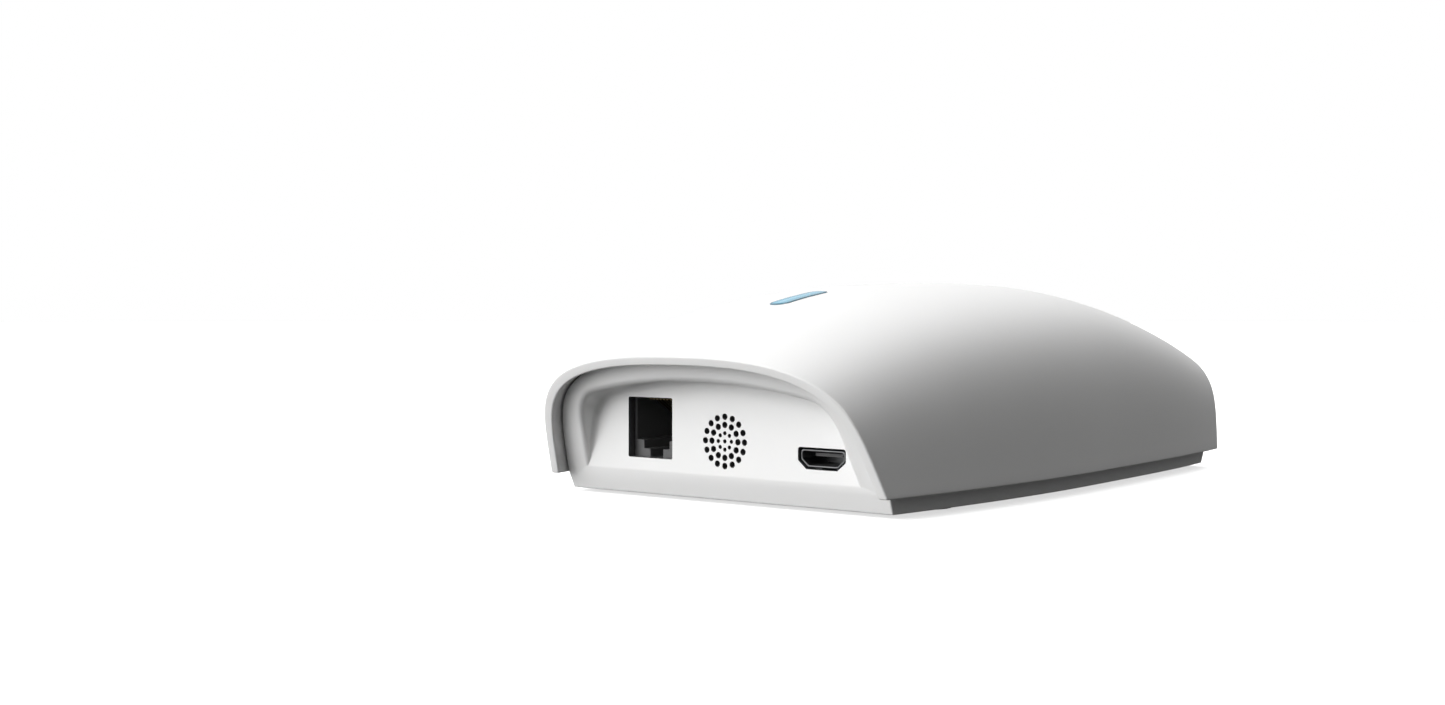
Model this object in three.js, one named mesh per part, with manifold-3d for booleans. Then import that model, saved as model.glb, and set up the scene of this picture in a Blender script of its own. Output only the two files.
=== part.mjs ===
// A smart home hub: a domed cover with two slanted lips, a base tray whose front wall holds the
// ports in a recess, and the board, speaker, light bar, radios and reset switch inside it.
// Millimetres. +X is to the right of the ports, +Y runs from the ports to the back, +Z is up.
// The origin is under the middle of the hub, on the surface that its feet stand on.

import * as THREE from "three";
import { mergeVertices } from "three/addons/utils/BufferGeometryUtils.js";
import Module from "manifold-3d";

const wasm = await Module();
wasm.setup();

// ---- Driving dimensions. Heights are above the base's underside, the feet stand below it. ----

// Cover
const LENGTH = 186; // over the two lips
const WIDTH = 110; // at the widest place of the cover's lower edge
const WIDEST_Y = 2.6;
const FRONT_WIDTH = 89; // of the plan outline, level with the front lip
const BACK_WIDTH = 102.2; // of the plan outline, level with the back lip
const CROWN_HEIGHT = 49.3;
const CROWN_Y = 18.7;
const FRONT_LIP_HEIGHT = 32.3;
const BACK_LIP_HEIGHT = 35.6;
const FRONT_SLANT = 22.9; // degrees that the front lip leans out from the vertical
const BACK_SLANT = 18.9;
const ROOF_CURVE_FRONT = 2.6; // powers of the curves that fall away from the crown
const ROOF_CURVE_BACK = 1.75;
const PLAN_CURVE_FRONT = 1.9; // powers of the curves that narrow from the widest place
const PLAN_CURVE_BACK = 3.65;
const SECTION_SIDE = 4.5; // powers of the rounded section across the cover
const SECTION_ROOF_FRONT = 2.55;
const SECTION_ROOF_BACK = 2.2;
const SIDE_LEAN = 0.083; // share of the width that the sides lose towards the crown
const COVER_WALL = 2.4;
const COVER_EDGE = 3.7; // height of the cover's lower edge

// Base tray
const FIT_GAP = 0.3; // all round between the cover's inside and the base
const BASE_WALL = 1.8;
const FLOOR = 2.2;
const TRAY_SIDE = 9.5; // height of the tray's side walls
const BASE_TUCK = 0.5; // how far the base's sides come in at the bottom
const LIP_RECESS = 4; // from each lip back to the base's end wall
const LEDGE = 5.34; // height of the crease where the end wall's slant meets the port panel
const PANEL_THICKNESS = 1.8;
const POCKET_WIDTH = 75; // at the crease
const POCKET_TOP = 26.7;
const POCKET_SHOULDER = 15.5; // height where the pocket's side starts to turn into its roof
const POCKET_SIDE_LEAN = 0.157;
const POCKET_ROOF_SAG = 3.1; // how far the roof's arc drops at its ends
const POCKET_CORNER = 8; // from the pocket's foot in to the end of the roof's arc

// Ports and speaker holes
const JACK_X = -18.9;
const JACK_WINDOW_WIDTH = 13;
const JACK_WINDOW_HEIGHT = 13.8;
const JACK_WINDOW_RISE = 0.6; // from the board's top to the window's lower edge
const SOCKET_X = 28.45;
const SOCKET_WINDOW_WIDTH = 12.1;
const SOCKET_WINDOW_HEIGHT = 4.6;
const SOCKET_WINDOW_RISE = 0.6;
const SOCKET_CHAMFER_WIDTH = 2.1;
const SOCKET_CHAMFER_HEIGHT = 1.8;
const SPEAKER_X = 2.65;
const SPEAKER_Z = 13.3;
const SMALL_HOLE = 0.9; // diameters of the speaker holes
const LARGE_HOLE = 1.4;
const SPEAKER_RINGS = [
  { radius: 1.81, count: 8, hole: SMALL_HOLE },
  { radius: 3.62, count: 12, hole: LARGE_HOLE },
  { radius: 5.43, count: 16, hole: LARGE_HOLE },
];

// Light bar
const BAR_LENGTH = 19.8;
const BAR_WIDTH = 5.2;
const BAR_SETBACK = 37.6; // from the front lip to the bar's near end
const BAR_PROUD = 0.3;
const BAR_GAP = 0.2;
const BAR_FLANGE = 1.5; // width and thickness of the flange under the cover
const LIGHT_BOARD_DROP = 6.566; // from the roof over the bar's near end to the light board's top
const LIGHT_BOARD_THICKNESS = 1.2;
const LIGHT_BOARD_WIDTH = 10;
const LIGHT_BOARD_OVERHANG = 4; // past its two screws
const LIGHT_SCREW_SPACING = 38;
const LIGHT_PITCH = 8;

// Main board
const BOARD_TOP = 7.9;
const BOARD_THICKNESS = 1.6;
const BOARD_LENGTH = 120;
const BOARD_WIDTH = 62;
const BOARD_HEAD_WIDTH = 74; // of the wide end that carries the ports
const BOARD_HEAD_LENGTH = 18.5;
const BOARD_FRONT_GAP = 0.8; // from the port panel's back to the board
const BOARD_SCREW_INSET = 4;
const PART_CHAMFER = 0.3; // of the chips and cans on the board

// Network jack
const JACK_GAP = 0.5; // from the port panel's back to the jack's face
const JACK_WIDTH = 15.6;
const JACK_DEPTH = 18;
const JACK_ROOF = 0.9;
const JACK_CAVITY_WIDTH = 11.8;
const JACK_CAVITY_DEPTH = 13.5;
const JACK_CAVITY_SILL = 3.9; // above the window's lower edge
const JACK_NOTCH_WIDTH = 7.5;
const JACK_NOTCH_SILL = 1.9;
const JACK_KEY_WIDTH = 3.7;
const JACK_FLOOR = 0.5;
const CONTACT_COUNT = 8;
const CONTACT_PITCH = 1.02;
const CONTACT_WIDTH = 0.45;
const CONTACT_THICKNESS = 0.35;
const SHIELD_THICKNESS = 0.4;

// Power socket
const SOCKET_RIM_GAP = 0.4;
const SOCKET_WALL = 0.45;
const SOCKET_SETBACK = 0.45;
const SOCKET_DEPTH = 9;
const SOCKET_BACK = 1; // thickness of the socket's closed end
const TONGUE_WIDTH = 7;
const TONGUE_THICKNESS = 0.7;
const TONGUE_LENGTH = 5.5;

// Speaker
const SPEAKER_DIAMETER = 16;
const SPEAKER_FRAME_WALL = 1;
const GASKET_THICKNESS = 0.8;
const SPEAKER_DEPTH = 4.6;
const CONE_TRAVEL = 0.3;
const COIL_RADIUS = 3.4;
const COIL_THICKNESS = 0.4;
const COIL_GAP = 0.3;
const MAGNET_DEPTH = 3.4;
const COLLAR_WALL = 1.2;
const COLLAR_LENGTH = 3.2;

// Reset switch
const RESET_X = 18;
const RESET_SETBACK = 101; // from the board's front edge
const RESET_BODY = 5.2;
const RESET_BODY_HEIGHT = 1.9;
const RESET_PIN_HOLE = 2.2;
const RESET_BUTTON = 1.7;
const RESET_TRAVEL = 0.3;
const RESET_BUTTON_SHOWN = 0.9; // how far the button stands out of its switch

// Fasteners and feet
const COVER_SCREW_FRONT = 23; // from the board's front edge
const COVER_SCREW_BACK = 35; // from the back lip
const BOARD_POST_GAP = 2.5; // from the board's long edges to the posts for the cover screws
const SCREW_TIP_GAP = 1.1; // from the floor to the tips of the board screws
const COVER_BOSS = 7; // diameters
const COVER_POST = 9;
const COVER_POST_TOP = 6.5;
const COVER_SCREW_SEAT = 4;
const FOOT_DIAMETER = 13;
const FOOT_THICKNESS = 1.8;
const FOOT_RECESS = 1;
const STANDOFF = 5;

const TOUCH = 0.05; // what is left between pieces that are glued, soldered or screwed together
const RUN = 0.3; // clearance round a piece that sits in another

// ---- Materials ----

const finish = (color, roughness, metalness = 0) =>
  new THREE.MeshStandardMaterial({ color, roughness, metalness });
const WHITE_PLASTIC = finish(0xf2f2f1, 0.35);
const BLUE_LENS = finish(0x4fb3e2, 0.2);
const DARK_PLASTIC = finish(0x2b2b2b, 0.5);
const RUBBER = finish(0x55585c, 0.8);
const FOAM = finish(0x303234, 0.95);
const BOARD_GREEN = finish(0x1f5a3c, 0.5);
const STEEL = finish(0xb9bcc0, 0.35, 1);
const SHELL_STEEL = finish(0x8a8c8e, 0.35, 1);
const GOLD = finish(0xc9a24a, 0.3, 1);
const CONE_PAPER = finish(0x3a3a3c, 0.7);
const CHIP_BLACK = finish(0x1b1c1e, 0.55);
const CABLE_GREY = finish(0x9a9da1, 0.6);
const LED_WHITE = finish(0xf4f0dc, 0.3);

// ---- Helpers: closed solids, and prisms along the three axes ----

function solid(geometry) {
  const bare = geometry.index ? geometry.toNonIndexed() : geometry.clone();
  bare.deleteAttribute("normal");
  bare.deleteAttribute("uv");
  const merged = mergeVertices(bare, 1e-4);
  const vertProperties = merged.attributes.position.array;
  const triVerts = new Uint32Array(merged.index.array);
  return new wasm.Manifold(new wasm.Mesh({ numProp: 3, vertProperties, triVerts }));
}

function piece(name, shape, material) {
  const { vertProperties, triVerts } = shape.getMesh();
  const geometry = new THREE.BufferGeometry();
  geometry.setAttribute("position", new THREE.BufferAttribute(vertProperties, 3));
  geometry.setIndex(new THREE.BufferAttribute(triVerts, 1));
  geometry.computeVertexNormals();
  const mesh = new THREE.Mesh(geometry, material);
  mesh.name = name;
  return mesh;
}

const outline = (points) => new THREE.Shape(points.map(([a, b]) => new THREE.Vector2(a, b)));

function prism(shape, depth, curveSegments) {
  return new THREE.ExtrudeGeometry(shape, { depth, bevelEnabled: false, curveSegments });
}

// The shape's own axes are X and Y, and it runs from z low to high.
function alongZ(shape, low, high, curveSegments = 6) {
  return solid(prism(shape, high - low, curveSegments).translate(0, 0, low));
}

// The shape's own axes are X and Z, and it runs from y near to far.
function alongY(shape, near, far, curveSegments = 6) {
  const turned = prism(shape, far - near, curveSegments).rotateX(Math.PI / 2);
  return solid(turned.translate(0, far, 0));
}

// The shape's own axes are Y and Z, and it runs from x left to right.
function alongX(shape, left, right, curveSegments = 6) {
  const across = new THREE.Vector3(0, 1, 0);
  const up = new THREE.Vector3(0, 0, 1);
  const turn = new THREE.Matrix4().makeBasis(across, up, new THREE.Vector3(1, 0, 0));
  const turned = prism(shape, right - left, curveSegments).applyMatrix4(turn);
  return solid(turned.translate(left, 0, 0));
}

function block([x0, y0, z0], [x1, y1, z1]) {
  const geometry = new THREE.BoxGeometry(x1 - x0, y1 - y0, z1 - z0);
  return solid(geometry.translate((x0 + x1) / 2, (y0 + y1) / 2, (z0 + z1) / 2));
}

// A cylinder that stands on z low, or with axis "y" one that runs from y near to far.
function rod(radius, x, y, low, high, sides = 16) {
  const geometry = new THREE.CylinderGeometry(radius, radius, high - low, sides);
  return solid(geometry.rotateX(Math.PI / 2).translate(x, y, (low + high) / 2));
}

function rodY(radius, x, z, near, far, sides = 16) {
  const geometry = new THREE.CylinderGeometry(radius, radius, far - near, sides);
  return solid(geometry.translate(x, (near + far) / 2, z));
}

// A turned piece: [radius, height] points from the axis round to the axis again.
function turned(points, x, y, z, sides = 16) {
  const profile = points.map(([r, h]) => new THREE.Vector2(r, h));
  return solid(new THREE.LatheGeometry(profile, sides).rotateX(Math.PI / 2).translate(x, y, z));
}

function roundedRectangle(width, depth, radius) {
  const shape = new THREE.Shape();
  const x = width / 2;
  const y = depth / 2;
  shape.absarc(x - radius, y - radius, radius, 0, Math.PI / 2);
  shape.absarc(-x + radius, y - radius, radius, Math.PI / 2, Math.PI);
  shape.absarc(-x + radius, -y + radius, radius, Math.PI, 1.5 * Math.PI);
  shape.absarc(x - radius, -y + radius, radius, 1.5 * Math.PI, 2 * Math.PI);
  shape.closePath();
  return shape;
}

const mirrored = (place) => [place(-1), place(1)];

// ---- The dome: one curve for the roof, one for the plan, one for the section ----

function bow(y, peak, peakY, front, frontPower, back, backPower) {
  const forward = y < peakY;
  const end = forward ? -LENGTH / 2 : LENGTH / 2;
  const share = (y - peakY) / (end - peakY);
  return peak - (peak - (forward ? front : back)) * share ** (forward ? frontPower : backPower);
}

const roofAt = (y) =>
  bow(y, CROWN_HEIGHT, CROWN_Y, FRONT_LIP_HEIGHT, ROOF_CURVE_FRONT, BACK_LIP_HEIGHT, ROOF_CURVE_BACK);
const halfWidthAt = (y) =>
  bow(y, WIDTH / 2, WIDEST_Y, FRONT_WIDTH / 2, PLAN_CURVE_FRONT, BACK_WIDTH / 2, PLAN_CURVE_BACK);
const sectionRoofAt = (y) =>
  THREE.MathUtils.mapLinear(y, -LENGTH / 2, LENGTH / 2, SECTION_ROOF_FRONT, SECTION_ROOF_BACK);

const DOME_STATIONS = 22;
const DOME_SECTION = 14;
const OVERRUN = 12; // past the lips, for the slanted cuts

// The solid under the roof, moved in by inset on the sides and the roof. Below the cover's edge its
// sides run down to height low, coming in by tuck.
function dome(inset, low = COVER_EDGE - 2, tuck = 0) {
  const section = new THREE.Shape();
  section.moveTo(-1, -1);
  section.lineTo(1, -1);
  section.absarc(0, 0, 1, 0, Math.PI);
  section.closePath();
  const geometry = new THREE.ExtrudeGeometry(section, {
    depth: 1,
    steps: DOME_STATIONS,
    bevelEnabled: false,
    curveSegments: DOME_SECTION,
  });
  const position = geometry.attributes.position;
  const reach = LENGTH / 2 + OVERRUN;
  for (let i = 0; i < position.count; i++) {
    const across = position.getX(i);
    const up = position.getY(i);
    const y = reach * (1 - 2 * position.getZ(i));
    const half = halfWidthAt(y) - inset;
    const rise = Math.abs(up) < 1e-6 ? 0 : Math.sign(up) * Math.abs(up) ** (up > 0 ? 2 / SECTION_SIDE : 1);
    if (rise < 0) {
      position.setXYZ(i, across * (half + tuck * rise), y, COVER_EDGE + rise * (COVER_EDGE - low));
    } else {
      const narrow = (1 - SIDE_LEAN * rise) * Math.abs(across) ** (2 / sectionRoofAt(y));
      const z = COVER_EDGE + rise * (roofAt(y) - inset - COVER_EDGE);
      position.setXYZ(i, Math.sign(across) * half * (Math.abs(across) < 1e-6 ? 0 : narrow), y, z);
    }
  }
  return solid(geometry);
}

const frontLipY = (z) =>
  -LENGTH / 2 + (FRONT_LIP_HEIGHT - z) * Math.tan(THREE.MathUtils.degToRad(FRONT_SLANT));
const backLipY = (z) =>
  LENGTH / 2 - (BACK_LIP_HEIGHT - z) * Math.tan(THREE.MathUtils.degToRad(BACK_SLANT));

// All that lies between the two slants, moved in by inset, from one height to another.
function betweenLips(inset, low, high) {
  const side = outline([
    [frontLipY(low) + inset, low],
    [backLipY(low) - inset, low],
    [backLipY(high) - inset, high],
    [frontLipY(high) + inset, high],
  ]);
  return alongX(side, -WIDTH, WIDTH);
}

// ---- Places that follow from the driving dimensions ----

const ABOVE_ALL = CROWN_HEIGHT + 5;
const PANEL_Y = frontLipY(LEDGE) + LIP_RECESS;
const PANEL_BACK_Y = PANEL_Y + PANEL_THICKNESS;
const BAR_Y = -LENGTH / 2 + BAR_SETBACK + BAR_LENGTH / 2;
const LIGHT_BOARD_TOP = roofAt(BAR_Y - BAR_LENGTH / 2) - LIGHT_BOARD_DROP;
const JACK_WINDOW_LOW = BOARD_TOP + JACK_WINDOW_RISE;
const JACK_WINDOW_HIGH = JACK_WINDOW_LOW + JACK_WINDOW_HEIGHT;
const SOCKET_WINDOW_LOW = BOARD_TOP + SOCKET_WINDOW_RISE;
const BOARD_FRONT_Y = PANEL_BACK_Y + BOARD_FRONT_GAP;
const BOARD_BACK_Y = BOARD_FRONT_Y + BOARD_LENGTH;
const BOARD_BOTTOM = BOARD_TOP - BOARD_THICKNESS;
const BOARD_SCREWS = [
  ...mirrored((side) => [
    side * (BOARD_HEAD_WIDTH / 2 - BOARD_SCREW_INSET),
    BOARD_FRONT_Y + BOARD_HEAD_LENGTH - BOARD_SCREW_INSET,
  ]),
  ...mirrored((side) => [
    side * (BOARD_WIDTH / 2 - BOARD_SCREW_INSET),
    BOARD_BACK_Y - BOARD_SCREW_INSET,
  ]),
];
const COVER_SCREW_X = BOARD_WIDTH / 2 + BOARD_POST_GAP + COVER_POST / 2;
const COVER_SCREWS = [
  ...mirrored((side) => [side * COVER_SCREW_X, BOARD_FRONT_Y + COVER_SCREW_FRONT]),
  ...mirrored((side) => [side * COVER_SCREW_X, LENGTH / 2 - COVER_SCREW_BACK]),
];
const RESET_Y = BOARD_FRONT_Y + RESET_SETBACK;
const LIGHT_SCREWS = mirrored((side) => [0, BAR_Y + (side * LIGHT_SCREW_SPACING) / 2]);
const FOOT_PROUD = FOOT_THICKNESS - FOOT_RECESS + TOUCH;
const COVER_SCREW = { shank: 1.25, head: 2.8, headHeight: 2, length: 12, pilot: 1.5, hole: 1.7 };
const BOARD_SCREW = {
  shank: 1, head: 2.4, headHeight: 1.5, length: BOARD_TOP - FLOOR - SCREW_TIP_GAP, pilot: 1.25, hole: 1.5,
};
const LIGHT_SCREW = { shank: 0.8, head: 1.7, headHeight: 1.1, length: 3.2, pilot: 1.05, hole: 1.1 };

// ---- Casing ----

function barOutline(grow) {
  const radius = BAR_WIDTH / 2 + grow;
  const shape = new THREE.Shape();
  const end = (BAR_LENGTH - BAR_WIDTH) / 2;
  shape.absarc(0, BAR_Y + end, radius, 0, Math.PI);
  shape.absarc(0, BAR_Y - end, radius, Math.PI, 2 * Math.PI);
  shape.closePath();
  return shape;
}

// The cover is an arch: it is open at both ends and below. Bosses for its screws hang from the roof.
function makeCover() {
  const inside = dome(COVER_WALL);
  let bosses = dome(COVER_WALL / 2).intersect(betweenLips(LIP_RECESS, COVER_POST_TOP + RUN, ABOVE_ALL));
  let posts = null;
  for (const [x, y] of COVER_SCREWS) {
    const post = rod(COVER_BOSS / 2, x, y, COVER_POST_TOP + RUN, ABOVE_ALL, 12);
    posts = posts ? posts.add(post) : post;
  }
  for (const [x, y] of LIGHT_SCREWS) {
    posts = posts.add(rod(LIGHT_BOARD_WIDTH / 4, x, y, LIGHT_BOARD_TOP + TOUCH, ABOVE_ALL, 12));
  }
  bosses = bosses.intersect(posts);
  let cover = dome(0).intersect(betweenLips(0, COVER_EDGE, ABOVE_ALL)).subtract(inside).add(bosses);
  for (const [x, y] of COVER_SCREWS) {
    const top = COVER_SCREW_SEAT + COVER_SCREW.length + 1;
    cover = cover.subtract(rod(COVER_SCREW.pilot, x, y, 0, top, 10));
  }
  for (const [x, y] of LIGHT_SCREWS) {
    const top = LIGHT_BOARD_TOP - LIGHT_BOARD_THICKNESS + LIGHT_SCREW.length + 0.5;
    cover = cover.subtract(rod(LIGHT_SCREW.pilot, x, y, 0, top, 8));
  }
  cover = cover.subtract(alongZ(barOutline(BAR_GAP), LIGHT_BOARD_TOP, ABOVE_ALL));
  return piece("top_cover", cover, WHITE_PLASTIC);
}

// The pocket's outline in X and Z. Its sides lean in, and an arc makes its roof.
function pocketOutline(grow) {
  const foot = POCKET_WIDTH / 2 + grow;
  const shoulder = foot - (POCKET_SHOULDER - LEDGE) * POCKET_SIDE_LEAN;
  const roofEnd = POCKET_WIDTH / 2 - POCKET_CORNER;
  const roofEndZ = POCKET_TOP - POCKET_ROOF_SAG + grow;
  const radius = (roofEnd ** 2 + POCKET_ROOF_SAG ** 2) / (2 * POCKET_ROOF_SAG);
  const half = Math.asin(roofEnd / radius);
  const slope = Math.tan(half);
  // The corner's control point is where the side's line and the roof's end tangent meet.
  const drop = roofEndZ - POCKET_SHOULDER;
  const reach = (shoulder - roofEnd - drop * POCKET_SIDE_LEAN) / (1 - slope * POCKET_SIDE_LEAN);
  const corner = [roofEnd + reach, roofEndZ - reach * slope];
  const low = LEDGE - grow;
  const shape = new THREE.Shape();
  shape.moveTo(-foot, low);
  shape.lineTo(foot, low);
  shape.lineTo(shoulder, POCKET_SHOULDER);
  shape.quadraticCurveTo(corner[0], corner[1], roofEnd, roofEndZ);
  shape.absarc(0, POCKET_TOP + grow - radius, radius, Math.PI / 2 - half, Math.PI / 2 + half);
  shape.quadraticCurveTo(-corner[0], corner[1], -shoulder, POCKET_SHOULDER);
  shape.closePath();
  return shape;
}

// The D of the power socket's window, with its lower corners cut off, moved in by inset.
function socketOutline(inset) {
  const half = SOCKET_WINDOW_WIDTH / 2 - inset;
  const low = SOCKET_WINDOW_LOW + inset;
  const high = SOCKET_WINDOW_LOW + SOCKET_WINDOW_HEIGHT - inset;
  const slant = Math.hypot(SOCKET_CHAMFER_WIDTH, SOCKET_CHAMFER_HEIGHT);
  const cut = (slant - SOCKET_CHAMFER_WIDTH - SOCKET_CHAMFER_HEIGHT) * inset;
  const wide = SOCKET_CHAMFER_WIDTH + cut / SOCKET_CHAMFER_HEIGHT;
  const tall = SOCKET_CHAMFER_HEIGHT + cut / SOCKET_CHAMFER_WIDTH;
  return outline([
    [SOCKET_X - half + wide, low],
    [SOCKET_X + half - wide, low],
    [SOCKET_X + half, low + tall],
    [SOCKET_X + half, high],
    [SOCKET_X - half, high],
    [SOCKET_X - half, low + tall],
  ]);
}

function speakerHoles() {
  let holes = rodY(SMALL_HOLE / 2, SPEAKER_X, SPEAKER_Z, PANEL_Y - 1, PANEL_BACK_Y + 1, 6);
  for (const { radius, count, hole } of SPEAKER_RINGS) {
    for (let i = 0; i < count; i++) {
      const angle = (2 * Math.PI * i) / count;
      const x = SPEAKER_X + radius * Math.sin(angle);
      const z = SPEAKER_Z + radius * Math.cos(angle);
      holes = holes.add(rodY(hole / 2, x, z, PANEL_Y - 1, PANEL_BACK_Y + 1, 6));
    }
  }
  return holes;
}

// The tray and its two end walls are one moulding. The front wall holds the pocket and the ports.
function makeBase() {
  const skin = COVER_WALL + FIT_GAP;
  const outside = dome(skin, 0, BASE_TUCK).intersect(betweenLips(LIP_RECESS, 0, ABOVE_ALL));
  const endInset = LIP_RECESS + BASE_WALL;
  const inside = dome(skin + BASE_WALL).intersect(betweenLips(endInset, FLOOR, ABOVE_ALL));
  const openTop = betweenLips(endInset, TRAY_SIDE, ABOVE_ALL);
  let base = outside.subtract(inside).subtract(openTop);
  const lowestLip = -LENGTH;
  const pocketWall = alongY(pocketOutline(BASE_WALL), lowestLip, PANEL_BACK_Y, 8);
  base = base.add(pocketWall.intersect(outside));
  base = base.subtract(alongY(pocketOutline(0), lowestLip, PANEL_Y, 8));
  const collar = rodY(SPEAKER_DIAMETER / 2 + RUN + COLLAR_WALL, SPEAKER_X, SPEAKER_Z,
    PANEL_Y + PANEL_THICKNESS / 2, PANEL_BACK_Y + COLLAR_LENGTH, 24);
  base = base.add(collar);
  const bore = rodY(SPEAKER_DIAMETER / 2 + RUN, SPEAKER_X, SPEAKER_Z,
    PANEL_BACK_Y, PANEL_BACK_Y + COLLAR_LENGTH + 1, 24);
  base = base.subtract(bore);
  for (const [x, y] of BOARD_SCREWS) {
    const standoff = rod(STANDOFF / 2, x, y, FLOOR / 2, BOARD_BOTTOM - TOUCH, 12);
    const pilot = rod(BOARD_SCREW.pilot, x, y, FLOOR, BOARD_TOP, 8);
    base = base.add(standoff).subtract(pilot);
  }
  for (const [x, y] of COVER_SCREWS) {
    base = base.add(rod(COVER_POST / 2, x, y, FLOOR / 2, COVER_POST_TOP, 16).intersect(outside));
    base = base.subtract(rod(COVER_BOSS / 2 + RUN, x, y, COVER_POST_TOP, TRAY_SIDE + RUN, 12));
    base = base.subtract(rod(COVER_SCREW.hole, x, y, -1, COVER_POST_TOP + 1, 10));
    base = base.subtract(rod(COVER_SCREW.head + RUN, x, y, -1, COVER_SCREW_SEAT, 16));
    base = base.subtract(rod(FOOT_DIAMETER / 2 + RUN, x, y, -1, FOOT_RECESS, 24));
  }
  const jackWindow = block(
    [JACK_X - JACK_WINDOW_WIDTH / 2, PANEL_Y - 1, JACK_WINDOW_LOW],
    [JACK_X + JACK_WINDOW_WIDTH / 2, PANEL_BACK_Y + 1, JACK_WINDOW_HIGH],
  );
  base = base.subtract(jackWindow);
  base = base.subtract(alongY(socketOutline(0), PANEL_Y - 1, PANEL_BACK_Y + 1));
  base = base.subtract(speakerHoles());
  base = base.subtract(rod(RESET_PIN_HOLE / 2, RESET_X, RESET_Y, -1, FLOOR + 1, 10));
  return piece("base_tray", base, WHITE_PLASTIC);
}

// A rubber disc with a chamfered edge, glued into its recess over a screw.
function makeFeet() {
  const r = FOOT_DIAMETER / 2;
  const chamfer = 0.4;
  return COVER_SCREWS.map(([x, y], i) => {
    const points = [[0, 0], [r - chamfer, 0], [r, chamfer], [r, FOOT_THICKNESS], [0, FOOT_THICKNESS]];
    return piece(`foot_${i + 1}`, turned(points, x, y, -FOOT_PROUD, 24), RUBBER);
  });
}

// A pan-head screw whose head's seat is at height seat. up is 1 for a shank that points up.
function screw(name, { shank, head, headHeight, length }, x, y, seat, up) {
  const edge = headHeight * 0.3;
  const tip = shank * 0.6;
  const profile = [
    [0, -headHeight], [head - edge, -headHeight], [head, edge - headHeight],
    [head, 0], [shank, 0], [shank, length - tip], [shank - tip, length], [0, length],
  ];
  const points = up > 0 ? profile : profile.map(([r, h]) => [r, -h]).reverse();
  return piece(name, turned(points, x, y, seat, 10), STEEL);
}

function makeScrews() {
  const cover = COVER_SCREWS.map(([x, y], i) =>
    screw(`cover_screw_${i + 1}`, COVER_SCREW, x, y, COVER_SCREW_SEAT - TOUCH, 1));
  const board = BOARD_SCREWS.map(([x, y], i) =>
    screw(`board_screw_${i + 1}`, BOARD_SCREW, x, y, BOARD_TOP + TOUCH, -1));
  const light = LIGHT_SCREWS.map(([x, y], i) =>
    screw(`light_screw_${i + 1}`, LIGHT_SCREW, x, y, LIGHT_BOARD_TOP - LIGHT_BOARD_THICKNESS - TOUCH, 1));
  return [...cover, ...board, ...light];
}

// ---- Light bar and its board, under the roof ----

function makeLight() {
  const flangeTop = dome(COVER_WALL + RUN);
  const flangeBottom = dome(COVER_WALL + RUN + BAR_FLANGE);
  const shroudTop = dome(COVER_WALL + 2 * RUN + BAR_FLANGE);
  const flange = alongZ(barOutline(BAR_FLANGE), LIGHT_BOARD_TOP, ABOVE_ALL).intersect(flangeTop);
  const window = alongZ(barOutline(0), LIGHT_BOARD_TOP, ABOVE_ALL).intersect(dome(-BAR_PROUD));
  const lens = flange.add(window).subtract(flangeBottom);

  const shroudWall = 1;
  const frame = roundedRectangle(BAR_WIDTH + 2 * BAR_FLANGE, BAR_LENGTH + 2 * BAR_FLANGE, 1);
  const hollow = roundedRectangle(
    BAR_WIDTH + 2 * BAR_FLANGE - 2 * shroudWall, BAR_LENGTH + 2 * BAR_FLANGE - 2 * shroudWall, 0.5);
  const shroud = alongZ(frame, LIGHT_BOARD_TOP + TOUCH, ABOVE_ALL, 3)
    .subtract(alongZ(hollow, LIGHT_BOARD_TOP - 1, ABOVE_ALL + 1, 3))
    .translate([0, BAR_Y, 0])
    .intersect(shroudTop);

  const bottom = LIGHT_BOARD_TOP - LIGHT_BOARD_THICKNESS;
  const boardLength = LIGHT_SCREW_SPACING + 2 * LIGHT_BOARD_OVERHANG;
  let board = alongZ(roundedRectangle(LIGHT_BOARD_WIDTH, boardLength, 1), bottom, LIGHT_BOARD_TOP, 3)
    .translate([0, BAR_Y, 0]);
  for (const [x, y] of LIGHT_SCREWS) {
    board = board.subtract(rod(LIGHT_SCREW.hole, x, y, bottom - 1, LIGHT_BOARD_TOP + 1, 8));
  }
  const leds = [-1, 0, 1].map((i) => {
    const base = roundedRectangle(3.2, 2.8, 0.3);
    const led = alongZ(base, LIGHT_BOARD_TOP + TOUCH, LIGHT_BOARD_TOP + 1.3, 2);
    return piece(`light_led_${i + 2}`, led.translate([0, BAR_Y + i * LIGHT_PITCH, 0]), LED_WHITE);
  });
  return [
    piece("light_bar", lens, BLUE_LENS),
    piece("light_shroud", shroud, WHITE_PLASTIC),
    piece("light_board", board, BOARD_GREEN),
    ...leds,
  ];
}

// ---- Main board and what is soldered to it ----

function makeMainBoard() {
  const head = BOARD_HEAD_WIDTH / 2;
  const half = BOARD_WIDTH / 2;
  const step = BOARD_FRONT_Y + BOARD_HEAD_LENGTH;
  const shape = outline([
    [-head, BOARD_FRONT_Y], [head, BOARD_FRONT_Y], [head, step], [half, step],
    [half, BOARD_BACK_Y], [-half, BOARD_BACK_Y], [-half, step], [-head, step],
  ]);
  let board = alongZ(shape, BOARD_BOTTOM, BOARD_TOP);
  // The speaker stands in a notch in the front edge.
  const notch = SPEAKER_DIAMETER / 2 + RUN + COLLAR_WALL + RUN;
  const notchBack = PANEL_BACK_Y + GASKET_THICKNESS + SPEAKER_DEPTH + MAGNET_DEPTH + 1;
  board = board.subtract(block(
    [SPEAKER_X - notch, BOARD_FRONT_Y - 1, 0], [SPEAKER_X + notch, notchBack, ABOVE_ALL]));
  for (const [x, y] of BOARD_SCREWS) {
    board = board.subtract(rod(BOARD_SCREW.hole, x, y, 0, ABOVE_ALL, 10));
  }
  return piece("main_board", board, BOARD_GREEN);
}

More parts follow.
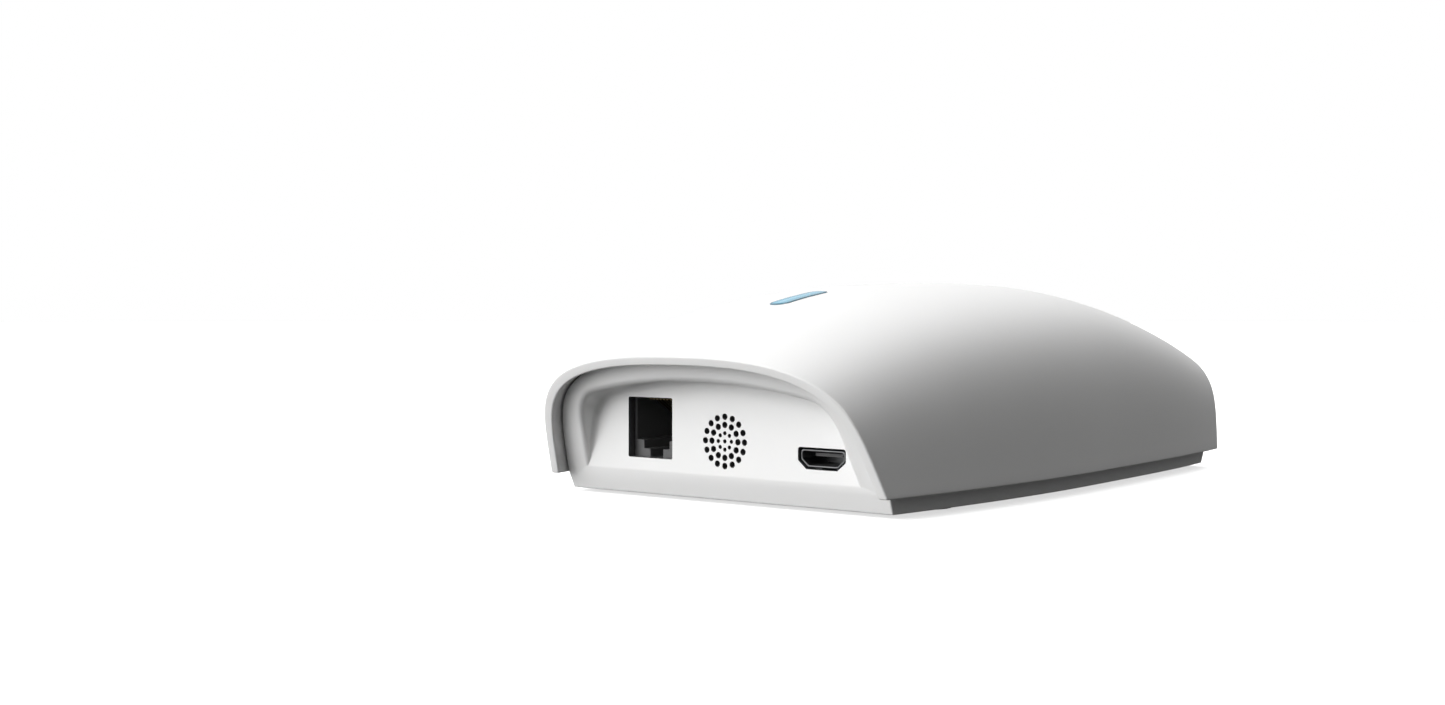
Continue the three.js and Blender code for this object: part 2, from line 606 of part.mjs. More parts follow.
// A moulded or stamped part with rounded corners and chamfered edges, standing on the board's top.
function boardPart(name, x, y, [width, depth, height], radius, material, low = BOARD_TOP) {
  const bevel = Math.min(PART_CHAMFER, height / 4);
  const shape = roundedRectangle(width - 2 * bevel, depth - 2 * bevel, radius);
  const geometry = new THREE.ExtrudeGeometry(shape, {
    depth: height - 2 * bevel,
    bevelThickness: bevel,
    bevelSize: bevel,
    bevelSegments: 1,
    curveSegments: 1,
  });
  return piece(name, solid(geometry.translate(x, y, low + TOUCH + bevel)), material);
}

function makeBoardParts() {
  const behind = (setback) => BOARD_FRONT_Y + setback;
  const moduleX = 14;
  const moduleY = behind(83);
  const moduleThickness = 0.8;
  return [
    boardPart("processor", -8, behind(51), [14, 14, 1.4], 0.3, CHIP_BLACK),
    boardPart("memory_chip", -8, behind(69), [9, 11, 1.1], 0.25, CHIP_BLACK),
    boardPart("flash_chip", 7, behind(51), [6, 8, 1.2], 0.25, CHIP_BLACK),
    boardPart("power_regulator", 22, behind(37), [6, 6, 1.1], 0.25, CHIP_BLACK),
    boardPart("power_inductor", 22, behind(27), [7, 7, 4], 0.6, DARK_PLASTIC),
    boardPart("network_transformer", JACK_X, behind(30), [12.7, 16, 5.5], 0.5, CHIP_BLACK),
    boardPart("crystal", 7, behind(62), [4.6, 11, 3.4], 1.2, STEEL),
    boardPart("radio_module_board", moduleX, moduleY, [18, 25, moduleThickness], 0.2, BOARD_GREEN),
    boardPart("radio_module_can", moduleX, moduleY - 3, [15, 17, 2.2], 0.3, STEEL,
      BOARD_TOP + TOUCH + moduleThickness),
  ];
}

function makeCapacitors() {
  const r = 3.15;
  const height = 7.7;
  const waist = 0.4;
  const points = [
    [0, 0], [r, 0], [r, 1.2], [r - waist, 1.6], [r, 2], [r, height - 0.5], [r - 0.5, height], [0, height],
  ];
  return [45, 53, 61].map((setback, i) => {
    const can = turned(points, 25, BOARD_FRONT_Y + setback, BOARD_TOP + TOUCH, 14);
    return piece(`capacitor_${i + 1}`, can, CHIP_BLACK);
  });
}

// Stamped inverted-F antennas stand on the board's two long edges.
function makeAntennas() {
  const thickness = 0.4;
  const leg = 1.2;
  const gap = 3.8;
  const rise = 4;
  const arm = 24;
  const height = 7;
  const low = BOARD_TOP + TOUCH;
  const near = BOARD_FRONT_Y + 75;
  const shape = outline([
    [near, low], [near + leg, low], [near + leg, low + rise], [near + leg + gap, low + rise],
    [near + leg + gap, low], [near + 2 * leg + gap, low], [near + 2 * leg + gap, low + rise],
    [near + arm, low + rise], [near + arm, low + height], [near, low + height],
  ]);
  const edge = BOARD_WIDTH / 2 - 1;
  const names = ["mesh_antenna", "wifi_antenna"];
  return mirrored((side) => {
    const x = side * edge;
    const plate = alongX(shape, x - thickness / 2, x + thickness / 2);
    return piece(names[(side + 1) / 2], plate, STEEL);
  });
}

// ---- Network jack: a moulding with its latch notches below, its contacts above, and a shield ----

function makeJack() {
  const face = PANEL_BACK_Y + JACK_GAP;
  const back = face + JACK_DEPTH;
  const top = JACK_WINDOW_HIGH + JACK_ROOF;
  const left = JACK_X - JACK_WIDTH / 2;
  const right = JACK_X + JACK_WIDTH / 2;
  const cavity = (width, low, high) =>
    block([JACK_X - width / 2, face - 1, low], [JACK_X + width / 2, face + JACK_CAVITY_DEPTH, high]);
  const sill = JACK_WINDOW_LOW + JACK_CAVITY_SILL;
  const notchSill = JACK_WINDOW_LOW + JACK_NOTCH_SILL;
  const ceiling = JACK_WINDOW_HIGH - RUN;
  const housing = block([left, face, BOARD_TOP + TOUCH], [right, back, top])
    .subtract(cavity(JACK_CAVITY_WIDTH, sill, ceiling))
    .subtract(cavity(JACK_NOTCH_WIDTH, notchSill, sill + 1))
    .subtract(cavity(JACK_KEY_WIDTH, BOARD_TOP + JACK_FLOOR, notchSill + 1));

  const t = SHIELD_THICKNESS;
  const shield = block(
    [left - TOUCH - t, face, BOARD_TOP + TOUCH], [right + TOUCH + t, back + TOUCH + t, top + TOUCH + t],
  ).subtract(block([left - TOUCH, face - 1, 0], [right + TOUCH, back + TOUCH, top + TOUCH]));

  // Each contact lies along the cavity's ceiling and springs back down into it.
  const roof = ceiling - TOUCH;
  const nose = face + 2;
  const bend = face + 4;
  const tip = face + 10;
  const fall = 3.6;
  const d = CONTACT_THICKNESS;
  const strip = outline([
    [nose, roof], [nose, roof - d], [bend, roof - d], [tip, roof - d - fall], [tip + d, roof - fall],
    [bend + d, roof],
  ]);
  const contacts = Array.from({ length: CONTACT_COUNT }, (_, i) => {
    const x = JACK_X + (i - (CONTACT_COUNT - 1) / 2) * CONTACT_PITCH;
    const wire = alongX(strip, x - CONTACT_WIDTH / 2, x + CONTACT_WIDTH / 2);
    return piece(`jack_contact_${i + 1}`, wire, GOLD);
  });
  return [
    piece("network_jack_housing", housing, DARK_PLASTIC),
    piece("network_jack_shield", shield, STEEL),
    ...contacts,
  ];
}

// ---- Power socket: a folded metal shell round a tongue ----

function makeSocket() {
  const front = PANEL_Y + SOCKET_SETBACK;
  const back = front + SOCKET_DEPTH;
  const inset = SOCKET_RIM_GAP + SOCKET_WALL;
  const insideBack = back - SOCKET_BACK;
  const shellLow = SOCKET_WINDOW_LOW + SOCKET_RIM_GAP;
  let shell = alongY(socketOutline(SOCKET_RIM_GAP), front, back)
    .subtract(alongY(socketOutline(inset), front - 1, insideBack));
  const legWidth = 0.8;
  const legX = SOCKET_WINDOW_WIDTH / 2 - SOCKET_RIM_GAP - SOCKET_CHAMFER_WIDTH - legWidth;
  for (const x of mirrored((side) => SOCKET_X + side * legX)) {
    shell = shell.add(block(
      [x - legWidth, BOARD_FRONT_Y + RUN, BOARD_TOP + TOUCH],
      [x + legWidth, back, shellLow + SOCKET_WALL / 2],
    ));
  }
  const middle = SOCKET_WINDOW_LOW + SOCKET_WINDOW_HEIGHT / 2 + TONGUE_THICKNESS / 2;
  const tongue = block(
    [SOCKET_X - TONGUE_WIDTH / 2, insideBack - TOUCH - TONGUE_LENGTH, middle],
    [SOCKET_X + TONGUE_WIDTH / 2, insideBack - TOUCH, middle + TONGUE_THICKNESS],
  );
  return [
    piece("power_socket_shell", shell, SHELL_STEEL),
    piece("power_socket_tongue", tongue, DARK_PLASTIC),
  ];
}

// ---- Speaker, behind the holes in the port panel. Its axis runs along Y. ----

// A turned piece on the speaker's axis: [radius, distance behind the panel] points.
function speakerTurned(points, sides = 24) {
  const profile = points.map(([r, h]) => new THREE.Vector2(r, h));
  const geometry = new THREE.LatheGeometry(profile, sides);
  return solid(geometry.translate(SPEAKER_X, PANEL_BACK_Y, SPEAKER_Z));
}

function makeSpeaker() {
  const r = SPEAKER_DIAMETER / 2;
  const wall = SPEAKER_FRAME_WALL;
  const gasketFront = TOUCH;
  const frameFront = gasketFront + GASKET_THICKNESS + TOUCH;
  const frameBack = frameFront + SPEAKER_DEPTH;
  const gasket = speakerTurned([
    [r - 1.8, gasketFront], [r, gasketFront], [r, gasketFront + GASKET_THICKNESS],
    [r - 1.8, gasketFront + GASKET_THICKNESS], [r - 1.8, gasketFront],
  ]);
  const magnetRadius = COIL_RADIUS + COIL_THICKNESS / 2 + COIL_GAP + 1.4;
  const seat = magnetRadius + TOUCH;
  const frame = speakerTurned([
    [seat, frameBack], [seat, frameBack - wall], [r - wall, frameBack - wall],
    [r - wall, frameFront], [r, frameFront], [r, frameBack], [seat, frameBack],
  ]);
  // The magnet is a cup with a pole in it. The coil runs in the ring between them.
  const ringIn = COIL_RADIUS - COIL_THICKNESS / 2 - COIL_GAP;
  const ringOut = COIL_RADIUS + COIL_THICKNESS / 2 + COIL_GAP;
  const magnetFront = frameBack - wall;
  const magnetBack = magnetFront + MAGNET_DEPTH;
  const ringBack = magnetBack - 0.8;
  const magnet = speakerTurned([
    [0, magnetFront], [ringIn, magnetFront], [ringIn, ringBack], [ringOut, ringBack],
    [ringOut, magnetFront], [magnetRadius, magnetFront], [magnetRadius, magnetBack], [0, magnetBack],
  ]);
  // The cone dishes back to the coil's former, and stops its travel short of frame and magnet.
  const coneEdge = r - wall - RUN;
  const coneFront = frameFront + CONE_TRAVEL + RUN;
  const coneDepth = 1.2;
  const skin = 0.4;
  const coilIn = COIL_RADIUS - COIL_THICKNESS / 2;
  const coilOut = COIL_RADIUS + COIL_THICKNESS / 2;
  const coilBack = ringBack - CONE_TRAVEL - RUN;
  const coneBack = coneFront + coneDepth;
  const cone = speakerTurned([
    [0, coneBack - 0.4], [COIL_RADIUS, coneBack - skin], [coneEdge, coneFront],
    [coneEdge, coneFront + skin], [coilOut, coneBack + 0.1], [coilOut, coilBack], [coilIn, coilBack],
    [coilIn, coneBack], [0, coneBack],
  ]);
  return [
    piece("speaker_gasket", gasket, FOAM),
    piece("speaker_frame", frame, DARK_PLASTIC),
    piece("speaker_magnet", magnet, STEEL),
    piece("speaker_cone", cone, CONE_PAPER),
  ];
}

// ---- Reset switch, under the board. A pin through the base pushes its button up. ----

function makeReset() {
  const top = BOARD_BOTTOM - TOUCH;
  const low = top - RESET_BODY_HEIGHT;
  const well = 1 + RESET_TRAVEL; // depth of the hole that the button slides in
  const half = RESET_BODY / 2;
  const body = block([RESET_X - half, RESET_Y - half, low], [RESET_X + half, RESET_Y + half, top])
    .subtract(rod(RESET_BUTTON / 2 + RUN / 2, RESET_X, RESET_Y, low - 1, low + well, 12));
  const shown = low - RESET_BUTTON_SHOWN;
  const button = rod(RESET_BUTTON / 2, RESET_X, RESET_Y, shown, low + well - RESET_TRAVEL - RUN, 12);
  return [
    piece("reset_switch_body", body, STEEL),
    piece("reset_button", button, DARK_PLASTIC),
  ];
}

// ---- Leads inside the hub: the light board's ribbon and the speaker's pair ----

function lead(name, section, points, steps, material) {
  const path = new THREE.CatmullRomCurve3(points.map((p) => new THREE.Vector3(...p)));
  const geometry = new THREE.ExtrudeGeometry(section, {
    extrudePath: path,
    steps,
    bevelEnabled: false,
    curveSegments: 4,
  });
  return piece(name, solid(geometry), material);
}

function makeLeads() {
  const plug = [6, 4, 2.6];
  const plugY = LIGHT_SCREWS[1][1] - 8;
  const plugLow = LIGHT_BOARD_TOP - LIGHT_BOARD_THICKNESS - plug[2] - 2 * TOUCH;
  const socket = [6, 5, 4];
  const socketY = plugY + 20;
  const ribbonStart = [0, plugY + plug[1] / 2 + RUN, plugLow + plug[2] / 2];
  const ribbonEnd = [0, socketY, BOARD_TOP + socket[2] + RUN];
  const ribbon = outline([[-2.25, -0.4], [2.25, -0.4], [2.25, 0.4], [-2.25, 0.4]]);
  const pairSocket = [5, 4, 3.4];
  const pairX = SPEAKER_X + 12;
  const pairY = PANEL_BACK_Y + 24;
  const speakerBack = PANEL_BACK_Y + GASKET_THICKNESS + SPEAKER_DEPTH + 2 * TOUCH;
  const pairStart = [SPEAKER_X, speakerBack + RUN, SPEAKER_Z + SPEAKER_DIAMETER / 2 - 1.2];
  const pairEnd = [pairX, pairY, BOARD_TOP + pairSocket[2] + RUN];
  const pair = new THREE.Shape();
  pair.absarc(0, 0, 0.7, 0, 2 * Math.PI);
  return [
    boardPart("light_board_plug", 0, plugY, plug, 0.3, WHITE_PLASTIC, plugLow),
    boardPart("light_lead_socket", 0, socketY, socket, 0.3, WHITE_PLASTIC),
    lead("light_lead", ribbon, [
      ribbonStart,
      [0, ribbonStart[1] + 6, ribbonStart[2] - 0.6],
      [0, socketY - 1, (ribbonStart[2] + ribbonEnd[2]) / 2],
      [0, socketY, ribbonEnd[2] + 5],
      ribbonEnd,
    ], 18, CABLE_GREY),
    boardPart("speaker_lead_socket", pairX, pairY, pairSocket, 0.3, WHITE_PLASTIC),
    lead("speaker_lead", pair, [
      pairStart,
      [pairStart[0] + 1, pairStart[1] + 4, pairStart[2] + 1],
      [pairX - 2, pairY - 5, pairStart[2] - 1],
      [pairX, pairY, pairEnd[2] + 4],
      pairEnd,
    ], 18, CABLE_GREY),
  ];
}

// ---- The hub, raised so that its feet stand on the origin's level ----

const hub = new THREE.Group();
hub.position.z = FOOT_PROUD;
hub.add(
  makeCover(),
  makeBase(),
  ...makeLight(),
  makeMainBoard(),
  ...makeBoardParts(),
  ...makeCapacitors(),
  ...makeAntennas(),
  ...makeJack(),
  ...makeSocket(),
  ...makeSpeaker(),
  ...makeReset(),
  ...makeLeads(),
  ...makeScrews(),
  ...makeFeet(),
);

const part = new THREE.Group();
part.add(hub);

export default part;
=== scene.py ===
"""A smart home hub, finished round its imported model: casing, ports, light bar, feet and materials.

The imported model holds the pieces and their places. The operators here make the fine shells that
stand for its plain ones, and give every piece its finish. All lengths are in metres.
"""

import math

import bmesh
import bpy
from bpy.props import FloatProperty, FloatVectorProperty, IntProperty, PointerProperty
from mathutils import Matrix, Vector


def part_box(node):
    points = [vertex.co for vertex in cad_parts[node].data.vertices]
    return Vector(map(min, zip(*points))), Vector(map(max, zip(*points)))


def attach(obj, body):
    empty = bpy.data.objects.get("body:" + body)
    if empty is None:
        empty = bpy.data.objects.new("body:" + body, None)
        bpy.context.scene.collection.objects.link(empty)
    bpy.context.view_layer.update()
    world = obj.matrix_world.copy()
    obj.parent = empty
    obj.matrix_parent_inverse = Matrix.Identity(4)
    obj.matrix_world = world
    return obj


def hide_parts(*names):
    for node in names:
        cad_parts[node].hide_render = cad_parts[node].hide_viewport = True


bl_info = {
    "name": "Smart Home Hub",
    "version": (1, 0, 0),
    "blender": (4, 5, 0),
    "location": "View3D > Sidebar > Hub",
    "description": "Builds the shells, ports and finishes of a smart home hub",
    "category": "Add Mesh",
}

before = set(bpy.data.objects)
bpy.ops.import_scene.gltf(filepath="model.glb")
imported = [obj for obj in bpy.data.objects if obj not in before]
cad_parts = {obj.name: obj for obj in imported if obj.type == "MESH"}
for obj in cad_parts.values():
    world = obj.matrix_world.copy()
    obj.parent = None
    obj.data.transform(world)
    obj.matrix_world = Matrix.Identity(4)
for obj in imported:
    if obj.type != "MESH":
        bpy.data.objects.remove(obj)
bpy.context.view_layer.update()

MM = 0.001
WELD = 1e-6
HUB = "hub"


def middle(node):
    """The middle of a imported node's box."""
    low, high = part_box(node)
    return (low + high) / 2


def span(node):
    """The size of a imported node's box."""
    low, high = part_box(node)
    return high - low


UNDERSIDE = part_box("base_tray")[0].z

# Fixings and small clearances
SEAT_GAP = 0.3 * MM  # between two mouldings that nearly touch
COVER_POST = 6.5 * MM  # height at which the cover's bosses meet the base's posts
COVER_BOSS = 3.5 * MM  # radius
COVER_POST_RADIUS = 4.5 * MM
COVER_PILOT = 1.5 * MM  # radius
LIGHT_BOSS = 2.5 * MM  # radius
LIGHT_PILOT = 1.05 * MM  # radius
BOARD_POST = 2.5 * MM  # radius
BOARD_PILOT = 1.25 * MM  # radius
POST_TOP = 8 * MM  # height past every post, to which their holes are cut
FOOT_SEAT = (6.8 * MM, MM)  # radius and depth
SCREW_HEAD_SEAT = (3.1 * MM, 4 * MM)
SCREW_SHANK = 1.7 * MM  # radius
RESET_HOLE = 1.1 * MM  # radius
COLLAR_WALL = 1.5 * MM
COLLAR_LENGTH = 3.2 * MM
BORE_LENGTH = 6 * MM  # out past the collar
SLOT_ROUND = 0.08 * MM
SLOT_DEPTH = 7 * MM
WINDOW_CORNER = 0.35 * MM
SPEAKER_HOLE_ROUND = 0.1 * MM
SPEAKER_RINGS = ((1.81, 8, "small_hole"), (3.62, 12, "large_hole"), (5.43, 16, "large_hole"))


# ---- Sizes and colours ----


def metres(name, description, millimetres):
    """A length setting, given in millimetres."""
    return FloatProperty(
        name=name, description=description, default=millimetres * MM, unit="LENGTH", precision=5
    )


def degrees(name, description, angle):
    """An angle setting, given in degrees."""
    return FloatProperty(
        name=name, description=description, default=math.radians(angle), unit="ROTATION"
    )


def number(name, description, value):
    """A plain setting, such as the power of a curve."""
    return FloatProperty(name=name, description=description, default=value, precision=3)


def colour(name, description, value):
    """A colour setting in linear red, green and blue."""
    return FloatVectorProperty(
        name=name, description=description, default=value, subtype="COLOR", min=0, max=1
    )


class CasingSizes(bpy.types.PropertyGroup):
    """The cover's dome, its two slanted lips and its wall. Heights are above the base's underside."""

    length: metres("Length", "Over the two lips", 186)
    width: metres("Width", "At the widest place of the cover's lower edge", 110)
    widest_y: metres("Widest place", "Along the hub, from its middle", 2.6)
    front_width: metres("Front width", "Of the plan outline at the front lip", 89)
    back_width: metres("Back width", "Of the plan outline at the back lip", 102.2)
    crown_height: metres("Crown height", "Height of the roof's highest place", 49.3)
    crown_y: metres("Crown place", "Along the hub, from its middle", 18.7)
    front_lip: metres("Front lip height", "Height of the front lip's top", 32.3)
    back_lip: metres("Back lip height", "Height of the back lip's top", 35.6)
    front_slant: degrees("Front slant", "Lean of the front lip from the vertical", 22.9)
    back_slant: degrees("Back slant", "Lean of the back lip from the vertical", 18.9)
    roof_front: number("Roof curve, front", "Power of the fall from the crown", 2.6)
    roof_back: number("Roof curve, back", "Power of the fall from the crown", 1.75)
    plan_front: number("Plan curve, front", "Power of the narrowing", 1.9)
    plan_back: number("Plan curve, back", "Power of the narrowing", 3.65)
    side_power: number("Side power", "Of the rounded section across the cover", 4.5)
    roof_power_front: number("Roof power, front", "Of the section at the front", 2.55)
    roof_power_back: number("Roof power, back", "Of the section at the back", 2.2)
    side_lean: number("Side lean", "Share of the width lost towards the crown", 0.083)
    wall: metres("Wall", "Thickness of the cover", 2.4)
    edge: metres("Lower edge", "Height of the cover's lower edge", 3.7)
    rim_round: metres("Rim rounding", "Radius along the cover's edges", 0.42)


class BaseSizes(bpy.types.PropertyGroup):
    """The base tray, its end walls and the pocket that holds the ports."""

    fit_gap: metres("Fit gap", "Between the cover's inside and the base", 0.3)
    wall: metres("Wall", "Thickness of the base's walls", 1.8)
    floor: metres("Floor", "Thickness of the floor", 2.2)
    tray_side: metres("Side height", "Height of the side walls", 9.5)
    tuck: metres("Tuck", "How far the sides come in at the bottom", 0.5)
    lip_recess: metres("Lip recess", "From each lip back to the end wall", 4)
    edge_round: metres("Edge rounding", "Radius along the base's outer edges", 0.3)
    ledge: metres("Ledge", "Height of the crease below the port panel", 5.34)
    panel: metres("Panel thickness", "Thickness of the port panel", 1.8)
    pocket_width: metres("Pocket width", "At the crease", 75)
    pocket_top: metres("Pocket top", "Height of the pocket's roof", 26.7)
    shoulder: metres("Pocket shoulder", "Where the sides start to turn into the roof", 15.5)
    side_lean: number("Pocket side lean", "Slope of the pocket's sides", 0.157)
    roof_sag: metres("Pocket roof sag", "Drop of the roof's arc at its ends", 3.1)
    corner: metres("Pocket corner", "From the pocket's foot in to the roof's end", 8)
    lip_round: metres("Pocket lip", "Radius of the pocket's soft edge", 1.25)
    fillet: metres("Pocket fillet", "Radius where the pocket's sides and roof meet the panel", 1.5)


class PortSizes(bpy.types.PropertyGroup):
    """Windows, sockets and speaker holes in the port panel."""

    window_round: metres("Window edge", "Radius of the windows' outer edges", 0.12)
    jack_width: metres("Jack window width", "Width of the network window", 13)
    jack_low: metres("Jack window low", "Height of its lower edge", 8.5)
    jack_high: metres("Jack window high", "Height of its upper edge", 22.3)
    cavity_width: metres("Jack cavity width", "For the plug's body", 11.8)
    cavity_depth: metres("Jack cavity depth", "From the jack's face", 13.5)
    cavity_sill: metres("Jack cavity sill", "Above the window's lower edge", 3.9)
    notch_width: metres("Jack notch width", "For the plug's latch", 7.5)
    notch_sill: metres("Jack notch sill", "Above the window's lower edge", 1.9)
    key_width: metres("Jack key width", "For the latch's tongue", 3.7)
    socket_width: metres("Socket window width", "Width of the power window", 12.1)
    socket_height: metres("Socket window height", "Height of the power window", 4.6)
    socket_low: metres("Socket window low", "Height of its lower edge", 8.5)
    chamfer_width: metres("Socket chamfer width", "Of the D's cut corners", 2.1)
    chamfer_height: metres("Socket chamfer height", "Of the D's cut corners", 1.8)
    socket_gap: metres("Socket gap", "Between the window and the socket's shell", 0.4)
    socket_wall: metres("Socket wall", "Thickness of the socket's shell", 0.45)
    small_hole: metres("Small speaker hole", "Diameter", 0.9)
    large_hole: metres("Large speaker hole", "Diameter", 1.4)
    bar_width: metres("Light bar width", "Across its lens", 5.2)
    bar_gap: metres("Light bar gap", "Between the lens and its slot", 0.06)
    bar_proud: metres("Light bar rise", "Above the roof", 0.22)
    bar_flange: metres("Light bar flange", "Width and thickness under the roof", 1.5)
    section_steps: IntProperty(
        name="Section steps", description="Steps across the dome", default=128, min=16
    )
    length_steps: IntProperty(
        name="Length steps", description="Steps along the dome", default=112, min=16
    )


class FinishColours(bpy.types.PropertyGroup):
    """Colours of the hub's materials."""

    white: colour("White plastic", "Cover and base", (0.86, 0.86, 0.855))
    lens: colour("Light bar", "Body of the lens", (0.05, 0.37, 0.56))
    # Painted glow: the lighter stripe along the lens's middle.
    lens_painted_glow: colour("Light bar core", "Middle stripe of the lens", (0.2, 0.6, 0.82))
    # Also the colour, a little darker, of the painted shade on the walls of the port panel's openings.
    black: colour("Black plastic", "Jack and small mouldings", (0.12, 0.12, 0.122))
    steel: colour("Plated steel", "Shields, screws and cans", (0.62, 0.63, 0.64))
    socket_steel: colour("Socket steel", "Shell of the power socket", (0.3, 0.305, 0.31))
    # Painted shade: far darker than real gold, so the contacts deep in the jack look lost in shadow.
    gold: colour("Contact gold", "Jack contacts", (0.2, 0.15, 0.08))
    board: colour("Board green", "Solder mask", (0.015, 0.11, 0.055))
    rubber: colour("Rubber", "Feet", (0.09, 0.095, 0.1))
    lead: colour("Leads", "Insulation of the inner leads", (0.33, 0.34, 0.36))


# ---- Curves ----


def even_shares(curve, count, samples=600):
    """Shares of a curve, from 0 to 1, that cut its length into equal steps."""
    points = [curve(i / samples) for i in range(samples + 1)]
    reach = [0.0]
    for near, far in zip(points, points[1:]):
        reach.append(reach[-1] + (far - near).length)
    shares = []
    at = 0
    for step in range(count + 1):
        wanted = reach[-1] * step / count
        while at < samples - 1 and reach[at + 1] < wanted:
            at += 1
        part = (wanted - reach[at]) / (reach[at + 1] - reach[at])
        shares.append((at + part) / samples)
    return shares


def solve(value, low, high, wanted, turns=24):
    """Where a rising function reaches a wanted value, by halving."""
    for _ in range(turns):
        half = (low + high) / 2
        if value(half) < wanted:
            low = half
        else:
            high = half
    return (low + high) / 2


class Dome:
    """The casing's surface: one curve for the roof, one for the plan, one for the section.

    A place on it is a turn and a distance along Y. The turn is 0 on the right at the cover's lower
    edge, pi on the left, and runs from -1 to 0 and from pi to pi + 1 up the base's sides below it.
    """

    def __init__(self, sizes):
        self.s = sizes
        self.edge = UNDERSIDE + sizes.edge

    def bow(self, y, peak, peak_y, front, front_power, back, back_power):
        forward = y < peak_y
        end = -self.s.length / 2 if forward else self.s.length / 2
        share = (y - peak_y) / (end - peak_y)
        fall = peak - (front if forward else back)
        return peak - fall * share ** (front_power if forward else back_power)

    def roof(self, y):
        s = self.s
        return UNDERSIDE + self.bow(
            y, s.crown_height, s.crown_y, s.front_lip, s.roof_front, s.back_lip, s.roof_back
        )

    def half_width(self, y):
        s = self.s
        return self.bow(
            y, s.width / 2, s.widest_y, s.front_width / 2, s.plan_front, s.back_width / 2, s.plan_back
        )

    def point(self, turn, y, inset=0.0, tuck=0.0):
        s = self.s
        half = self.half_width(y) - inset
        if turn < 0 or turn > math.pi:
            drop = -turn if turn < 0 else turn - math.pi
            side = 1 if turn < 0 else -1
            return Vector((side * (half - tuck * drop), y, self.edge - drop * s.edge))
        share = y / s.length + 0.5
        roof_power = s.roof_power_front + share * (s.roof_power_back - s.roof_power_front)
        rise = max(math.sin(turn), 0) ** (2 / s.side_power)
        across = math.copysign(abs(math.cos(turn)) ** (2 / roof_power), math.cos(turn))
        height = self.roof(y) - inset - self.edge
        return Vector((half * (1 - s.side_lean * rise) * across, y, self.edge + rise * height))

    def front(self, z):
        return -self.s.length / 2 + (UNDERSIDE + self.s.front_lip - z) * math.tan(self.s.front_slant)

    def back(self, z):
        return self.s.length / 2 - (UNDERSIDE + self.s.back_lip - z) * math.tan(self.s.back_slant)

    def end(self, turn, slant, recess, inset, tuck):
        """Where the line at this turn meets a slanted end plane."""
        y = slant(self.edge) + recess
        for _ in range(8):
            y = slant(self.point(turn, y, inset, tuck).z) + recess
        return y

    def height_at(self, x, y, inset=0.0):
        """Height of the roof over a place in plan."""
        turn = solve(lambda t: -self.point(t, y, inset).x, 0, math.pi, -x)
        return self.point(turn, y, inset).z

    def side_at(self, z, y, inset=0.0):
        """Half the width inside the dome at a height."""
        if z <= self.edge:
            return self.half_width(y) - inset
        turn = solve(lambda t: self.point(t, y, inset).z, 0, math.pi / 2, z)
        return self.point(turn, y, inset).x

    def turns(self, count):
        """Turns that cut the section into equal steps."""

        def eased(share):
            out = 2 * share - 1
            return math.pi / 2 * (1 + math.copysign(1 - (1 - abs(out)) ** 2, out))

        return [eased(s) for s in even_shares(lambda s: self.point(eased(s), 0.0), count)]

    def sections(self, turns, stations, inset=0.0, recess=0.0, tuck=0.0):
        """Rows of points across the dome, one for each station from the front plane to the back."""
        fronts = [self.end(t, self.front, recess, inset, tuck) for t in turns]
        backs = [self.end(t, self.back, -recess, inset, tuck) for t in turns]
        rows = []
        for j in range(stations + 1):
            share = j / stations
            rows.append([
                self.point(t, f + share * (b - f), inset, tuck) for t, f, b in zip(turns, fronts, backs)
            ])
        return rows


# ---- Mesh helpers ----


def lay_grid(bm, rows, closed=False):
    """A grid whose vertices are placed on rows of points. A closed one meets itself sideways."""
    across = len(rows[0]) - (0 if closed else 1)
    along = len(rows) - 1
    made = bmesh.ops.create_grid(bm, x_segments=across, y_segments=along, size=0.5)
    for v in made["verts"]:
        i = round((v.co.x + 0.5) * across) % len(rows[0])
        j = round((v.co.y + 0.5) * along)
        v.co = rows[j][i]
    return made["verts"]


def loft(bm, rings):
    """A closed body through rings of points, with both ends filled."""
    verts = lay_grid(bm, rings, closed=True)
    bmesh.ops.remove_doubles(bm, verts=verts, dist=WELD)
    bmesh.ops.holes_fill(bm, edges=[e for e in bm.edges if e.is_boundary], sides=0)
    bmesh.ops.dissolve_degenerate(bm, edges=bm.edges, dist=WELD)


def circle(radius, count, x=0.0, y=0.0):
    """Points round a circle, anticlockwise."""
    return [
        Vector((x + radius * math.cos(math.tau * i / count), y + radius * math.sin(math.tau * i / count)))
        for i in range(count)
    ]


def turned(bm, profile, x, y, count=32):
    """A body turned about an upright axis through x, y from radius and height pairs."""
    rings = [[Vector((p.x, p.y, z)) for p in circle(r, count, x, y)] for r, z in profile]
    loft(bm, rings)


def turned_back(bm, profile, x, z, count=32):
    """A body turned about an axis along Y from radius and Y pairs."""
    rings = [[Vector((p.x, y, p.y)) for p in circle(r, count, x, z)] for r, y in profile]
    loft(bm, rings)


def block(bm, low, high):
    """A box between two corners."""
    middle_point = (Vector(low) + Vector(high)) / 2
    size = Vector(high) - Vector(low)
    place = Matrix.Translation(middle_point) @ Matrix.Diagonal((*size, 1.0))
    bmesh.ops.create_cube(bm, size=1.0, matrix=place)


def rounded(corners, radius, steps=5):
    """A convex outline, anticlockwise, with its corners rounded."""
    points = []
    count = len(corners)
    for i, corner in enumerate(corners):
        corner = Vector(corner)
        before = (Vector(corners[i - 1]) - corner).normalized()
        after = (Vector(corners[(i + 1) % count]) - corner).normalized()
        inner = math.acos(max(-1.0, min(1.0, before.dot(after))))
        centre = corner + (before + after).normalized() * radius / math.sin(inner / 2)
        start = corner + before * radius / math.tan(inner / 2) - centre
        for k in range(steps + 1):
            arm = start.copy()
            arm.rotate(Matrix.Rotation((math.pi - inner) * k / steps, 2))
            points.append(centre + arm)
    return points


def normals_of(outline, closed=True):
    """Outward directions at the points of an anticlockwise outline."""
    out = []
    last = len(outline) - 1
    for i in range(len(outline)):
        before = outline[i - 1] if closed or i > 0 else outline[i]
        after = outline[(i + 1) % len(outline)] if closed or i < last else outline[i]
        along = after - before
        out.append(Vector((along.y, -along.x)).normalized())
    return out


